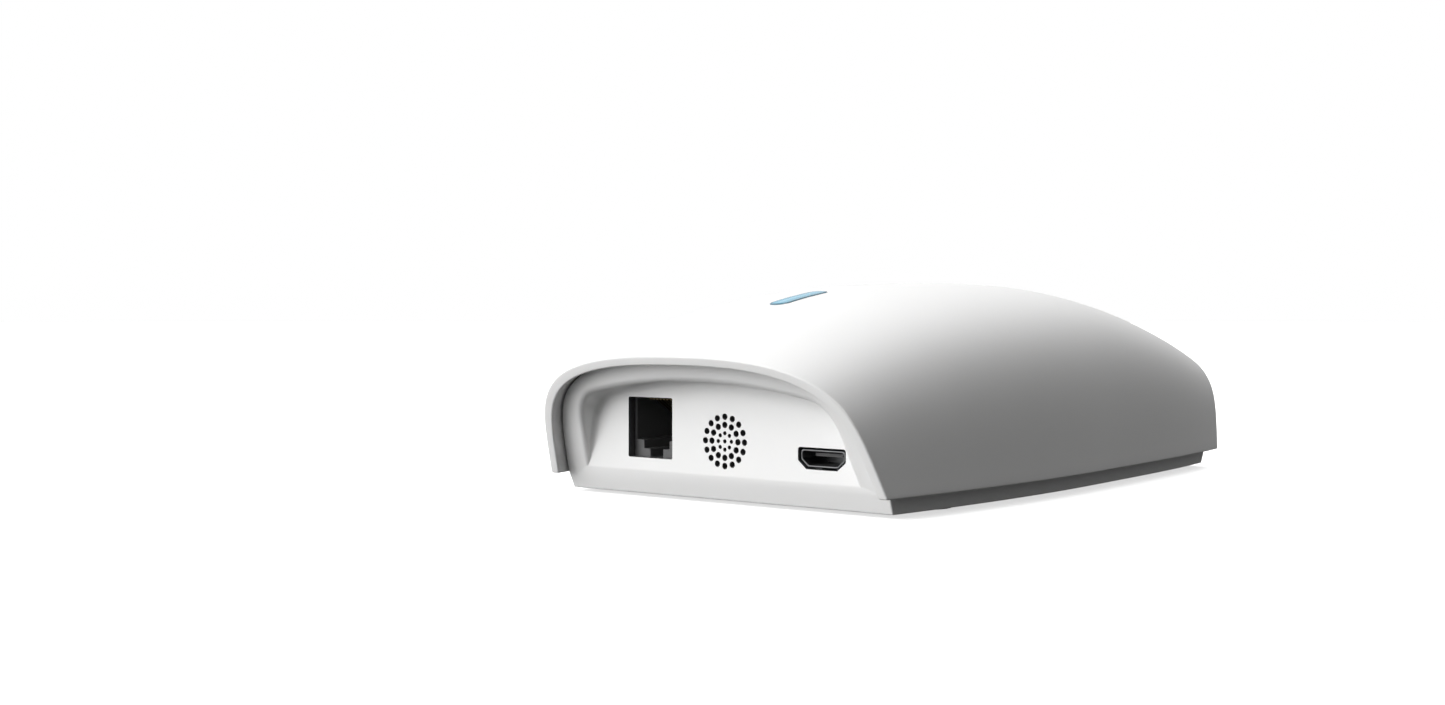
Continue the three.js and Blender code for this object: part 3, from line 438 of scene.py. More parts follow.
ROUND_STEPS = 6
FLARE = 1.2  # how far a cutter opens in front of a rounded edge, as a share of its radius
NUDGE = 0.008 * MM  # how far a rounding starts in front of its face, so that the cut is clean
CLEAR = 2 * MM  # how far cutters start outside what they cut


def quarter(steps):
    """Turns from nothing to a right angle."""
    return [math.pi / 2 * k / steps for k in range(steps + 1)]


def rounding(radius):
    """Steps of a rounded edge: how far out of the outline, and how deep."""
    return [
        (radius * (1 - math.sin(turn)), radius * (1 - math.cos(turn)) - NUDGE)
        for turn in quarter(ROUND_STEPS)
    ]


def hole_cutter(bm, outline, place, radius, depth):
    """A cutter for a hole with a rounded outer edge. place(a, b, depth) gives a point in space."""
    steps = [(radius * FLARE, -CLEAR), *rounding(radius), (0.0, depth)]
    normals = normals_of(outline)
    rings = [[place(*(p + n * out), deep) for p, n in zip(outline, normals)] for out, deep in steps]
    loft(bm, rings)


def to_object(name, bm):
    """A new object from a bmesh, with its normals set to point out."""
    bmesh.ops.recalc_face_normals(bm, faces=bm.faces)
    mesh = bpy.data.meshes.new(name)
    bm.to_mesh(mesh)
    bm.free()
    piece = bpy.data.objects.new(name, mesh)
    bpy.context.scene.collection.objects.link(piece)
    return piece


def combine(piece, operation, bm):
    """Joins the bodies in bm to a piece, or cuts them out of it."""
    tool = to_object(piece.name + "_tool", bm)
    modifier = piece.modifiers.new("combine", "BOOLEAN")
    modifier.operation = operation
    modifier.solver = "MANIFOLD"
    modifier.object = tool
    depsgraph = bpy.context.evaluated_depsgraph_get()
    result = bpy.data.meshes.new_from_object(piece.evaluated_get(depsgraph))
    if not result.polygons or len(result.vertices) == len(piece.data.vertices):
        raise RuntimeError(f"{piece.name}: the {operation.lower()} changed nothing")
    old = piece.data
    piece.modifiers.remove(modifier)
    piece.data = result
    bpy.data.meshes.remove(old)
    bpy.data.objects.remove(tool)


SHARP = math.radians(32)


def smooth(piece, angle=SHARP):
    """Smooth shading that keeps sharp edges and leaves flat faces flat."""
    mesh = piece.data
    mesh.name = piece.name
    mesh.shade_smooth()
    mesh.set_sharp_from_angle(angle=angle)
    weighted = piece.modifiers.new("Even shading", "WEIGHTED_NORMAL")
    weighted.keep_sharp = True


def soften(piece, width, segments=2):
    """A small rounding on every sharp edge, as a mould or a press leaves."""
    bevel = piece.modifiers.new("Soft edges", "BEVEL")
    bevel.width = width
    bevel.segments = segments
    bevel.limit_method = "ANGLE"
    bevel.angle_limit = SHARP


def bevel_sharp(bm, width, angle=50, segments=3):
    """Rounds the edges of a bmesh that turn by more than an angle."""
    limit = math.radians(angle)
    edges = [e for e in bm.edges if e.is_manifold and e.calc_face_angle() > limit]
    bmesh.ops.bevel(
        bm, geom=edges, offset=width, offset_type="OFFSET", affect="EDGES", segments=segments,
        profile=0.5, material=-1, clamp_overlap=True,
    )


def finish_piece(piece, nodes, material):
    """Seats a finished piece on its body, in place of its plain nodes."""
    piece.data.materials.clear()
    piece.data.materials.append(material)
    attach(piece, HUB)
    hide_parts(*nodes)


# ---- Materials ----


class Nodes:
    """Short calls for building a material's nodes."""

    def __init__(self, name):
        self.material = bpy.data.materials.new(name)
        self.material.use_nodes = True
        self.tree = self.material.node_tree
        self.shader = self.tree.nodes["Principled BSDF"]
        self.object_coordinates = self.add("ShaderNodeTexCoord").outputs["Object"]

    def add(self, kind, **settings):
        node = self.tree.nodes.new(kind)
        for key, value in settings.items():
            if hasattr(node, key):
                setattr(node, key, value)
            else:
                node.inputs[key.replace("_", " ").title()].default_value = value
        return node

    def link(self, output, socket):
        self.tree.links.new(output, socket)

    def noise(self, size, detail=2.0, vector=None):
        """Noise whose features are about this many metres across."""
        node = self.add("ShaderNodeTexNoise")
        node.inputs["Scale"].default_value = 1 / size
        node.inputs["Detail"].default_value = detail
        self.link(vector or self.object_coordinates, node.inputs["Vector"])
        return node.outputs["Fac"]

    def stretched(self, scale):
        """Object coordinates, scaled on each axis, for grain that runs one way."""
        node = self.add("ShaderNodeMapping")
        node.inputs["Scale"].default_value = scale
        self.link(self.object_coordinates, node.inputs["Vector"])
        return node.outputs["Vector"]

    def between(self, factor, low, high):
        """Spreads a factor over a range of numbers."""
        node = self.add("ShaderNodeMapRange")
        node.inputs["From Min"].default_value = 0.3
        node.inputs["From Max"].default_value = 0.7
        node.inputs["To Min"].default_value = low
        node.inputs["To Max"].default_value = high
        self.link(factor, node.inputs["Value"])
        return node.outputs["Result"]

    def blend(self, factor, first, second):
        """Mixes two colours, each a colour or a socket."""
        node = self.add("ShaderNodeMix", data_type="RGBA")
        self.link(factor, node.inputs["Factor"])
        for socket, value in ((node.inputs[6], first), (node.inputs[7], second)):
            if isinstance(value, bpy.types.NodeSocket):
                self.link(value, socket)
            else:
                socket.default_value = (*value, 1.0)
        return node.outputs[2]

    def math(self, operation, first, second=0.0):
        node = self.add("ShaderNodeMath", operation=operation)
        for socket, value in zip(node.inputs, (first, second)):
            if isinstance(value, bpy.types.NodeSocket):
                self.link(value, socket)
            else:
                socket.default_value = value
        return node.outputs[0]

    def bump(self, height, depth, strength=1.0):
        """Relief, depth metres high, from a height."""
        node = self.add("ShaderNodeBump")
        node.inputs["Strength"].default_value = strength
        node.inputs["Distance"].default_value = depth
        self.link(height, node.inputs["Height"])
        self.link(node.outputs["Normal"], self.shader.inputs["Normal"])


def scaled(value, share):
    """A colour made lighter or darker."""
    return tuple(min(1.0, c * share) for c in value)


def moulded(name, base, roughness, grain=0.25 * MM, relief=0.004 * MM, mottle=0.02, specular=0.5):
    """Moulded plastic or rubber: a fine spark-eroded grain and a slow change of tone and gloss."""
    made = Nodes(name)
    fine = made.noise(grain, 3)
    broad = made.noise(22 * MM, 2)
    tone = made.blend(broad, scaled(base, 1 - mottle), scaled(base, 1 + mottle))
    made.link(tone, made.shader.inputs["Base Color"])
    gloss = made.math("ADD", made.between(fine, -0.03, 0.03), made.between(broad, -0.02, 0.02))
    made.link(made.math("ADD", gloss, roughness), made.shader.inputs["Roughness"])
    made.shader.inputs["Specular IOR Level"].default_value = specular
    if relief:
        made.bump(fine, relief)
    return made


def white_plastic(colours):
    """Satin white plastic that lets a little light in under its surface, with painted shade that turns the
    walls of the port panel's openings black.
    """
    made = moulded("white_plastic", colours.white, 0.42, mottle=0.006, relief=0.002 * MM)
    tone = made.shader.inputs["Base Color"].links[0].from_socket
    # Painted shade: the walls of the port panel's openings are turned black, standing in for the shade
    # inside them.
    painted_shade = made.add("ShaderNodeAttribute", attribute_name="painted_shade").outputs["Fac"]
    made.link(made.blend(painted_shade, tone, scaled(colours.black, 0.9)), made.shader.inputs["Base Color"])
    made.shader.inputs["Subsurface Weight"].default_value = 0.12
    made.shader.inputs["Subsurface Radius"].default_value = (1.0, 0.95, 0.9)
    made.shader.inputs["Subsurface Scale"].default_value = 0.6 * MM
    return made.material


def brushed(name, base, roughness, stretch=(1.0, 14.0, 1.0)):
    """Rolled and plated sheet metal, with a grain that runs one way and small stains."""
    made = Nodes(name)
    made.shader.inputs["Metallic"].default_value = 1.0
    grain = made.noise(0.5 * MM, 4, made.stretched(stretch))
    stain = made.noise(3 * MM, 3)
    tone = made.blend(stain, scaled(base, 0.9), scaled(base, 1.06))
    made.link(tone, made.shader.inputs["Base Color"])
    made.link(made.between(grain, roughness - 0.08, roughness + 0.08), made.shader.inputs["Roughness"])
    made.bump(grain, 0.003 * MM)
    return made.material


def circuit_board(colours):
    """Green solder mask with tracks that show as relief and a lighter tone, and plated dots."""
    made = Nodes("board_green")
    tracks = made.add("ShaderNodeTexBrick", offset=0.5)
    tracks.inputs["Scale"].default_value = 1 / (1.6 * MM) / 4
    tracks.inputs["Mortar Size"].default_value = 0.06
    tracks.inputs["Color1"].default_value = (0, 0, 0, 1)
    tracks.inputs["Color2"].default_value = (0.15, 0.15, 0.15, 1)
    tracks.inputs["Mortar"].default_value = (1, 1, 1, 1)
    made.link(made.object_coordinates, tracks.inputs["Vector"])
    dots = made.add("ShaderNodeTexVoronoi")
    dots.inputs["Scale"].default_value = 1 / (3 * MM)
    made.link(made.object_coordinates, dots.inputs["Vector"])
    via = made.math("LESS_THAN", dots.outputs["Distance"], 0.09)
    mask = made.blend(tracks.outputs["Color"], colours.board, scaled(colours.board, 2.1))
    made.link(made.blend(via, mask, (0.5, 0.42, 0.24)), made.shader.inputs["Base Color"])
    made.link(made.between(made.noise(4 * MM), 0.3, 0.42), made.shader.inputs["Roughness"])
    made.bump(tracks.outputs["Fac"], 0.02 * MM, 0.6)
    return made.material


def lens_plastic(colours):
    """The light bar: blue plastic with painted shade at its rounded edge and a painted glow, brightest along
    its middle.
    """
    made = Nodes("blue_lens")
    depth = made.add("ShaderNodeAttribute", attribute_name="lens_depth")
    ramp = made.add("ShaderNodeValToRGB")
    made.link(depth.outputs["Fac"], ramp.inputs["Fac"])
    # Painted shade darkens the lens towards its rounded edge; the lighter core along its middle is a painted
    # glow.
    stops = [
        (0.0, scaled(colours.lens, 0.3)),
        (0.14, scaled(colours.lens, 0.55)),
        (0.4, scaled(colours.lens, 1.05)),
        (0.68, colours.lens),
        (0.95, colours.lens_painted_glow),
    ]
    ramp.color_ramp.interpolation = "EASE"
    while len(ramp.color_ramp.elements) < len(stops):
        ramp.color_ramp.elements.new(0.5)
    for element, (place, tone) in zip(ramp.color_ramp.elements, stops):
        element.position = place
        element.color = (*tone, 1.0)
    fleck = made.noise(0.4 * MM, 3)
    tone = made.blend(made.between(fleck, 0.0, 0.06), ramp.outputs["Color"], (0.8, 0.95, 1.0))
    made.link(tone, made.shader.inputs["Base Color"])
    made.link(tone, made.shader.inputs["Emission Color"])
    made.shader.inputs["Emission Strength"].default_value = 0.04
    made.link(made.between(fleck, 0.16, 0.22), made.shader.inputs["Roughness"])
    made.shader.inputs["Coat Weight"].default_value = 0.25
    made.shader.inputs["Coat Roughness"].default_value = 0.08
    made.bump(fleck, 0.002 * MM)
    return made.material


def speaker_paper(colours):
    """Pressed paper fibre for the cone."""
    made = moulded("cone_paper", scaled(colours.rubber, 0.6), 0.8, 0.18 * MM, 0.0, 0.12)
    fibres = made.noise(0.3 * MM, 5, made.stretched((6.0, 1.0, 1.0)))
    made.bump(fibres, 0.03 * MM)
    return made.material


def make_materials(colours):
    """One material for each finish, by the record's slot names."""
    black = colours.black
    return {
        "white_plastic": white_plastic(colours),
        "blue_lens": lens_plastic(colours),
        "black_plastic": moulded("black_plastic", black, 0.5, 0.3 * MM, 0.006 * MM, 0.08).material,
        "socket_steel": brushed("socket_steel", colours.socket_steel, 0.36),
        "plated_steel": brushed("plated_steel", colours.steel, 0.3),
        "contact_gold": brushed("contact_gold", colours.gold, 0.38),
        "board_green": circuit_board(colours),
        "chip_black": moulded("chip_black", scaled(black, 0.7), 0.6, 0.12 * MM, 0.01 * MM, 0.1).material,
        "led_lens": moulded("led_lens", (0.8, 0.74, 0.45), 0.25, 0.2 * MM, 0.002 * MM, 0.04).material,
        "connector_plastic": moulded(
            "connector_plastic", (0.72, 0.7, 0.64), 0.45, 0.2 * MM, 0.004 * MM, 0.03).material,
        "cone_paper": speaker_paper(colours),
        "gasket_foam": moulded(
            "gasket_foam", scaled(black, 1.4), 0.95, 0.25 * MM, 0.12 * MM, 0.3, 0.2).material,
        "foot_rubber": moulded("foot_rubber", colours.rubber, 0.78, 0.2 * MM, 0.02 * MM, 0.1, 0.3).material,
        "lead_insulation": moulded(
            "lead_insulation", colours.lead, 0.5, 0.5 * MM, 0.006 * MM, 0.06).material,
    }


MATERIALS = {}


# ---- Shapes that several pieces share ----


def pocket_outline(sizes, grow=0.0, steps=14):
    """The pocket's right foot, right side, roof and left side, as points in X and Z."""
    foot = sizes.pocket_width / 2 + grow
    ledge = UNDERSIDE + sizes.ledge
    shoulder_z = UNDERSIDE + sizes.shoulder
    shoulder = foot - (shoulder_z - ledge) * sizes.side_lean
    roof_end = sizes.pocket_width / 2 - sizes.corner
    top = UNDERSIDE + sizes.pocket_top + grow
    roof_end_z = top - sizes.roof_sag
    radius = (roof_end**2 + sizes.roof_sag**2) / (2 * sizes.roof_sag)
    half = math.asin(roof_end / radius)
    slope = math.tan(half)
    drop = roof_end_z - shoulder_z
    reach = (shoulder - roof_end - drop * sizes.side_lean) / (1 - slope * sizes.side_lean)
    corner = Vector((roof_end + reach, roof_end_z - reach * slope))
    start, end = Vector((shoulder, shoulder_z)), Vector((roof_end, roof_end_z))
    below = 1.2 * MM
    right = [
        Vector((foot + below * sizes.side_lean, ledge - below)).lerp(start, k / steps)
        for k in range(steps)
    ]
    for k in range(steps):
        t = k / steps
        right.append(start * (1 - t) ** 2 + corner * 2 * t * (1 - t) + end * t * t)
    arc = [
        Vector((radius * math.sin(a), top - radius + radius * math.cos(a)))
        for a in [half * (1 - k / (2 * steps)) for k in range(2 * steps)]
    ]
    right.extend(arc)
    left = [Vector((-p.x, p.y)) for p in reversed(right)]
    return [*right, Vector((0, top)), *left]


def socket_outline(ports, inset=0.0, radius=0.5 * MM):
    """The D of the power window, with its lower corners cut off, as points in X and Z."""
    x = middle("power_socket_shell").x
    half = ports.socket_width / 2 - inset
    low = UNDERSIDE + ports.socket_low + inset
    high = UNDERSIDE + ports.socket_low + ports.socket_height - inset
    slant = math.hypot(ports.chamfer_width, ports.chamfer_height)
    cut = (slant - ports.chamfer_width - ports.chamfer_height) * inset
    wide = ports.chamfer_width + cut / ports.chamfer_height
    tall = ports.chamfer_height + cut / ports.chamfer_width
    corners = [
        (x - half + wide, low), (x + half - wide, low), (x + half, low + tall),
        (x + half, high), (x - half, high), (x - half, low + tall),
    ]
    return rounded(corners, radius)


def bar_outline(ports, radius, steps=14):
    """The light bar's outline in X and Y, with round ends, at some distance from its middle line."""
    low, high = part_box("light_bar")
    centre = (low.y + high.y) / 2
    end = (high.y - low.y) / 2 - ports.bar_flange - ports.bar_width / 2
    points = []
    for side in (1, -1):
        for k in range(steps + 1):
            turn = math.pi * k / steps
            x = side * radius * math.cos(turn)
            points.append(Vector((x, centre + side * (end + radius * math.sin(turn)))))
        for k in range(1, steps):
            points.append(Vector((-side * radius, centre + side * end * (1 - 2 * k / steps))))
    return points


def panel_y(casing, base):
    """Where the port panel's face is."""
    return Dome(casing).front(UNDERSIDE + base.ledge) + base.lip_recess


# ---- Operators ----


class HUB_OT_materials(bpy.types.Operator):
    """Make the hub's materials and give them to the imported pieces"""

    bl_idname = "hub.materials"
    bl_label = "Make Finishes"

    NODES = {
        "white_plastic": ["light_shroud"],
        "black_plastic": ["speaker_frame", "reset_button", "power_socket_tongue", "power_inductor"],
        "plated_steel": [
            "network_jack_shield", "reset_switch_body", "crystal", "radio_module_can", "mesh_antenna",
            "wifi_antenna", "speaker_magnet",
        ],
        "board_green": ["main_board", "light_board", "radio_module_board"],
        "chip_black": ["processor", "memory_chip", "flash_chip", "power_regulator", "network_transformer"],
        "connector_plastic": ["light_board_plug", "light_lead_socket", "speaker_lead_socket"],
        "cone_paper": ["speaker_cone"],
        "gasket_foam": ["speaker_gasket"],
        "lead_insulation": ["light_lead", "speaker_lead"],
    }
    GROUPS = {
        "contact_gold": "jack_contact_",
        "chip_black": "capacitor_",
        "led_lens": "light_led_",
        "plated_steel": ("cover_screw_", "board_screw_", "light_screw_"),
    }

    def execute(self, context):
        MATERIALS.update(make_materials(context.scene.hub_colours))
        wanted = {node: slot for slot, nodes in self.NODES.items() for node in nodes}
        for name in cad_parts:
            for slot, start in self.GROUPS.items():
                if name.startswith(start):
                    wanted[name] = slot
        for name, slot in wanted.items():
            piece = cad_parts[name]
            piece.data.materials.clear()
            piece.data.materials.append(MATERIALS[slot])
        return {"FINISHED"}


class HUB_OT_cover(bpy.types.Operator):
    """Build the domed cover, with its rims, bosses and the light bar's slot"""

    bl_idname = "hub.cover"
    bl_label = "Build Cover"

    def execute(self, context):
        casing, base = context.scene.hub_casing, context.scene.hub_base
        ports = context.scene.hub_ports
        dome = Dome(casing)
        turns = dome.turns(ports.section_steps)
        bm = bmesh.new()
        lay_grid(bm, dome.sections(turns, ports.length_steps))
        lay_grid(bm, dome.sections(turns, ports.length_steps, casing.wall))
        bmesh.ops.bridge_loops(bm, edges=[e for e in bm.edges if e.is_boundary])
        bmesh.ops.recalc_face_normals(bm, faces=bm.faces)
        bevel_sharp(bm, casing.rim_round)
        cover = to_object("cover", bm)
        combine(cover, "UNION", self.bosses(dome, casing))
        combine(cover, "DIFFERENCE", self.cuts(dome, ports))
        smooth(cover)
        finish_piece(cover, ["top_cover"], MATERIALS["white_plastic"])
        return {"FINISHED"}

    def bosses(self, dome, casing):
        """Posts for the cover's and the light board's screws, each ending inside the roof."""
        bm = bmesh.new()
        low = UNDERSIDE + COVER_POST + SEAT_GAP
        light_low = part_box("light_board")[1].z + SEAT_GAP / 6
        posts = [(middle(f"cover_screw_{i}"), COVER_BOSS, low) for i in range(1, 5)]
        posts += [(middle(f"light_screw_{i}"), LIGHT_BOSS, light_low) for i in (1, 2)]
        for at, radius, low in posts:
            rings = [[Vector((*p, low)) for p in circle(radius, 32, at.x, at.y)]]
            rings.append([
                Vector((*p, dome.height_at(*p, casing.wall / 2))) for p in circle(radius, 32, at.x, at.y)
            ])
            loft(bm, rings)
        return bm

    def cuts(self, dome, ports):
        """The light bar's slot with its softened edge, and the screws' pilot holes."""
        bm = bmesh.new()
        hole_cutter(
            bm,
            bar_outline(ports, ports.bar_width / 2 + ports.bar_gap),
            lambda x, y, depth: Vector((x, y, dome.height_at(x, y) - depth)),
            SLOT_ROUND,
            SLOT_DEPTH,
        )
        for i in range(1, 5):
            low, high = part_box(f"cover_screw_{i}")
            profile = [(COVER_PILOT, low.z), (COVER_PILOT, high.z + MM)]
            turned(bm, profile, *middle(f"cover_screw_{i}").xy, 20)
        for i in (1, 2):
            low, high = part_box(f"light_screw_{i}")
            profile = [(LIGHT_PILOT, low.z), (LIGHT_PILOT, high.z + 0.5 * MM)]
            turned(bm, profile, *middle(f"light_screw_{i}").xy, 16)
        return bm


class HUB_OT_base(bpy.types.Operator):
    """Build the base tray with its end walls, port pocket, windows and speaker holes"""

    bl_idname = "hub.base"
    bl_label = "Build Base"

    def execute(self, context):
        scene = context.scene
        self.casing, self.base, self.ports = scene.hub_casing, scene.hub_base, scene.hub_ports
        self.dome = Dome(self.casing)
        self.skin = self.casing.wall + self.base.fit_gap
        self.panel = panel_y(self.casing, self.base)
        self.panel_back = self.panel + self.base.panel
        tray = to_object("base", self.outside())
        combine(tray, "DIFFERENCE", self.inside())
        combine(tray, "UNION", self.posts())
        combine(tray, "DIFFERENCE", self.bore())
        combine(tray, "DIFFERENCE", self.pocket())
        combine(tray, "DIFFERENCE", self.holes())
        # Painted shade goes on the walls of the port panel's openings.
        self.shade_openings(tray)
        smooth(tray)
        finish_piece(tray, ["base_tray"], MATERIALS["white_plastic"])
        return {"FINISHED"}

    def outside(self):
        """The solid that the tray is hollowed out of, with its outer edges rounded."""
        base = self.base
        turns = [-1.0, -0.5, *self.dome.turns(self.ports.section_steps), math.pi + 0.5, math.pi + 1]
        bm = bmesh.new()
        loft(bm, self.dome.sections(turns, self.ports.length_steps, self.skin, base.lip_recess, base.tuck))
        bmesh.ops.recalc_face_normals(bm, faces=bm.faces)
        bevel_sharp(bm, base.edge_round)
        return bm

    HOLLOW_TOP = 60 * MM  # above every part of the tray
    HOLLOW_STATIONS = 60

    def inside(self):
        """The hollow of the tray, less the block that the pocket's walls are left in."""
        base, dome = self.base, self.dome
        inset = self.skin + base.wall
        recess = base.lip_recess + base.wall
        low, side = UNDERSIDE + base.floor, UNDERSIDE + base.tray_side
        top = UNDERSIDE + self.HOLLOW_TOP
        far = self.casing.width
        rings = []
        for j in range(self.HOLLOW_STATIONS + 1):
            ring = []
            for reach, z in [(None, low), (None, dome.edge), (None, side), (far, side), (far, top)]:
                front, back = dome.front(z) + recess, dome.back(z) - recess
                y = front + (back - front) * j / self.HOLLOW_STATIONS
                ring.append(Vector((reach or dome.side_at(z, y, inset), y, z)))
            rings.append([*ring, *[Vector((-p.x, p.y, p.z)) for p in reversed(ring)]])
        bm = bmesh.new()
        loft(bm, rings)
        hollow = to_object("hollow", bm)
        outline = pocket_outline(base, base.wall)
        bm = bmesh.new()
        loft(bm, [[Vector((p.x, y, p.y)) for p in outline] for y in (-self.casing.length, self.panel_back)])
        combine(hollow, "DIFFERENCE", bm)
        bm = bmesh.new()
        bm.from_mesh(hollow.data)
        bpy.data.objects.remove(hollow)
        return bm

    def posts(self):
        """Posts under the cover's screws, standoffs under the board and the speaker's collar."""
        base = self.base
        bm = bmesh.new()
        root = UNDERSIDE + base.floor / 2
        for i in range(1, 5):
            post = [(COVER_POST_RADIUS, root), (COVER_POST_RADIUS, UNDERSIDE + COVER_POST)]
            turned(bm, post, *middle(f"cover_screw_{i}").xy)
            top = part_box("main_board")[0].z - 0.05 * MM
            turned(bm, [(BOARD_POST, root), (BOARD_POST, top)], *middle(f"board_screw_{i}").xy, 24)
        at = middle("speaker_frame")
        radius = span("speaker_frame").x / 2 + COLLAR_WALL
        collar = [(radius, self.panel + base.panel / 2), (radius, self.panel_back + COLLAR_LENGTH)]
        turned_back(bm, collar, at.x, at.z, 48)
        return bm

    def bore(self):
        """The speaker's seat inside the collar."""
        at = middle("speaker_frame")
        radius = span("speaker_frame").x / 2 + SEAT_GAP
        bm = bmesh.new()
        turned_back(bm, [(radius, self.panel_back), (radius, self.panel_back + BORE_LENGTH)], at.x, at.z, 48)
        return bm

    POCKET_STEPS = 10
    POCKET_FLARE = 1.3  # as FLARE, for the pocket's wider lip
    POCKET_LEAD = 5 * MM  # how far the pocket's cutter starts in front of the end wall

    def pocket(self):
        """A cutter for the pocket. Its soft lip and its fillet fade out where it runs out at the crease."""
        base, dome = self.base, self.dome
        outline = pocket_outline(base)
        normals = normals_of(outline, closed=False)
        radius = base.lip_round

        def face(z):
            return dome.front(z) + base.lip_recess

        def at(i, turn):
            spot = outline[i] + normals[i] * radius * (1 - math.sin(turn))
            return Vector((spot.x, face(spot.y) + radius * (1 - math.cos(turn)) - NUDGE, spot.y))

        last = math.pi / 2
        limits = []
        for i in range(len(outline)):
            limit = last if at(i, last).y <= self.panel else 0.0
            if limit == 0.0 and at(i, 0.0).y < self.panel:
                limit = solve(lambda t, i=i: at(i, t).y, 0, last, self.panel)
            limits.append(limit)
        rings = []
        front = [outline[i] + normals[i] * radius * self.POCKET_FLARE for i in range(len(outline))]
        rings.append([Vector((p.x, face(p.y) - self.POCKET_LEAD, p.y)) for p in front])
        for turn in quarter(self.POCKET_STEPS):
            ring = [at(i, min(turn, limits[i])) for i in range(len(outline))]
            rings.append([Vector((p.x, min(p.y, self.panel), p.z)) for p in ring])
        wall = rings[-1]
        for turn in quarter(self.POCKET_STEPS):
            ring = []
            for p, normal in zip(wall, normals):
                reach = min(base.fillet, self.panel - p.y)
                inward = normal * reach * (1 - math.cos(turn))
                y = self.panel - reach * (1 - math.sin(turn))
                ring.append(Vector((p.x - inward.x, y, p.z - inward.y)))
            rings.append(ring)
        bm = bmesh.new()
        loft(bm, rings)
        return bm

    def holes(self):
        """Cutters for the windows, the speaker's holes, the screws, the feet and the reset pin."""
        base, ports = self.base, self.ports
        bm = bmesh.new()

        def on_panel(x, z, depth):
            return Vector((x, self.panel + depth, z))

        through = base.panel + MM
        jack = middle("network_jack_housing").x
        low, high = UNDERSIDE + ports.jack_low, UNDERSIDE + ports.jack_high
        half = ports.jack_width / 2
        corners = [(jack - half, low), (jack + half, low), (jack + half, high), (jack - half, high)]
        window = rounded(corners, WINDOW_CORNER)
        hole_cutter(bm, window, on_panel, ports.window_round, through)
        hole_cutter(bm, socket_outline(ports), on_panel, ports.window_round, through)
        at = middle("speaker_frame")
        for x, z, size in self.speaker_holes(at):
            hole_cutter(bm, circle(size / 2, 20, x, z), on_panel, SPEAKER_HOLE_ROUND, through - 0.5 * MM)
        for i in range(1, 5):
            foot, seat = UNDERSIDE + FOOT_SEAT[1], UNDERSIDE + SCREW_HEAD_SEAT[1]
            well = [
                (FOOT_SEAT[0], -CLEAR), (FOOT_SEAT[0], foot), (SCREW_HEAD_SEAT[0], foot),
                (SCREW_HEAD_SEAT[0], seat), (SCREW_SHANK, seat), (SCREW_SHANK, UNDERSIDE + POST_TOP),
            ]
            turned(bm, well, *middle(f"cover_screw_{i}").xy, 48)
            pilot = [(BOARD_PILOT, UNDERSIDE + base.floor), (BOARD_PILOT, UNDERSIDE + POST_TOP)]
            turned(bm, pilot, *middle(f"board_screw_{i}").xy, 20)
        pin = [(RESET_HOLE, -CLEAR), (RESET_HOLE, UNDERSIDE + 4 * MM)]
        turned(bm, pin, *middle("reset_button").xy, 24)
        return bm

    def shade_openings(self, tray):
        """Marks the walls of the openings in the port panel for painted shade, which turns the white plastic
        black there.
        """
        painted_shade = tray.data.attributes.new("painted_shade", "FLOAT", "POINT")
        front, back = self.panel + 0.05 * MM, self.panel_back + 0.05 * MM
        reach = self.base.pocket_width / 2 - self.base.wall
        low = UNDERSIDE + self.base.ledge
        for vertex, mark in zip(tray.data.vertices, painted_shade.data):
            at = vertex.co
            mark.value = float(front < at.y < back and abs(at.x) < reach and at.z > low)

    def speaker_holes(self, at):
        """One hole in the middle and three rings of holes round it: x, z and diameter."""
        ports = self.ports
        yield at.x, at.z, ports.small_hole
        for radius, count, size in SPEAKER_RINGS:
            for i in range(count):
                turn = math.tau * i / count
                x, z = radius * MM * math.sin(turn), radius * MM * math.cos(turn)
                yield at.x + x, at.z + z, getattr(ports, size)


class HUB_OT_light_bar(bpy.types.Operator):
    """Build the light bar's lens, which stands a little out of the roof"""

    bl_idname = "hub.light_bar"
    bl_label = "Build Light Bar"

    EDGE = 0.3 * MM  # radius of the lens's upper edge
    CROWN = 0.06 * MM  # rise of its middle over its edge
    EDGE_STEPS, CROWN_STEPS = 4, 6

    def execute(self, context):
        casing, ports = context.scene.hub_casing, context.scene.hub_ports
        dome = Dome(casing)
        half = ports.bar_width / 2
        under = casing.wall + SEAT_GAP
        bottom = -(under + ports.bar_flange)
        steps = [(0.0, bottom), (half + ports.bar_flange, bottom), (half + ports.bar_flange, -under)]
        steps.append((half, -under))
        for turn in quarter(self.EDGE_STEPS):
            inward = self.EDGE * (1 - math.cos(turn))
            steps.append((half - inward, ports.bar_proud - self.EDGE * (1 - math.sin(turn))))
        inner = half - self.EDGE
        for k in range(1, self.CROWN_STEPS + 1):
            share = 1 - k / self.CROWN_STEPS
            steps.append((inner * share, ports.bar_proud + self.CROWN * (1 - share**2)))
        bm = bmesh.new()
        rings = []
        for radius, rise in steps:
            outline = bar_outline(ports, max(radius, 1e-9))
            rings.append([Vector((*p, dome.height_at(*p) + rise)) for p in outline])
        loft(bm, rings)
        lens = to_object("lens", bm)
        self.mark_depth(lens, ports)
        smooth(lens)
        finish_piece(lens, ["light_bar"], MATERIALS["blue_lens"])
        return {"FINISHED"}

    def mark_depth(self, lens, ports):
        """Stores how far each vertex is in from the lens's outline, as a share of half its width, from which
        the lens paints its shade at the edge and its glow along the middle.
        """
        line = bar_outline(ports, 1e-9)
        low, high = min(p.y for p in line), max(p.y for p in line)
        half = ports.bar_width / 2
        depth = lens.data.attributes.new("lens_depth", "FLOAT", "POINT")
        for vertex, value in zip(lens.data.vertices, depth.data):
            past = max(low - vertex.co.y, vertex.co.y - high, 0.0)
            value.value = max(0.0, 1 - math.hypot(vertex.co.x, past) / half)


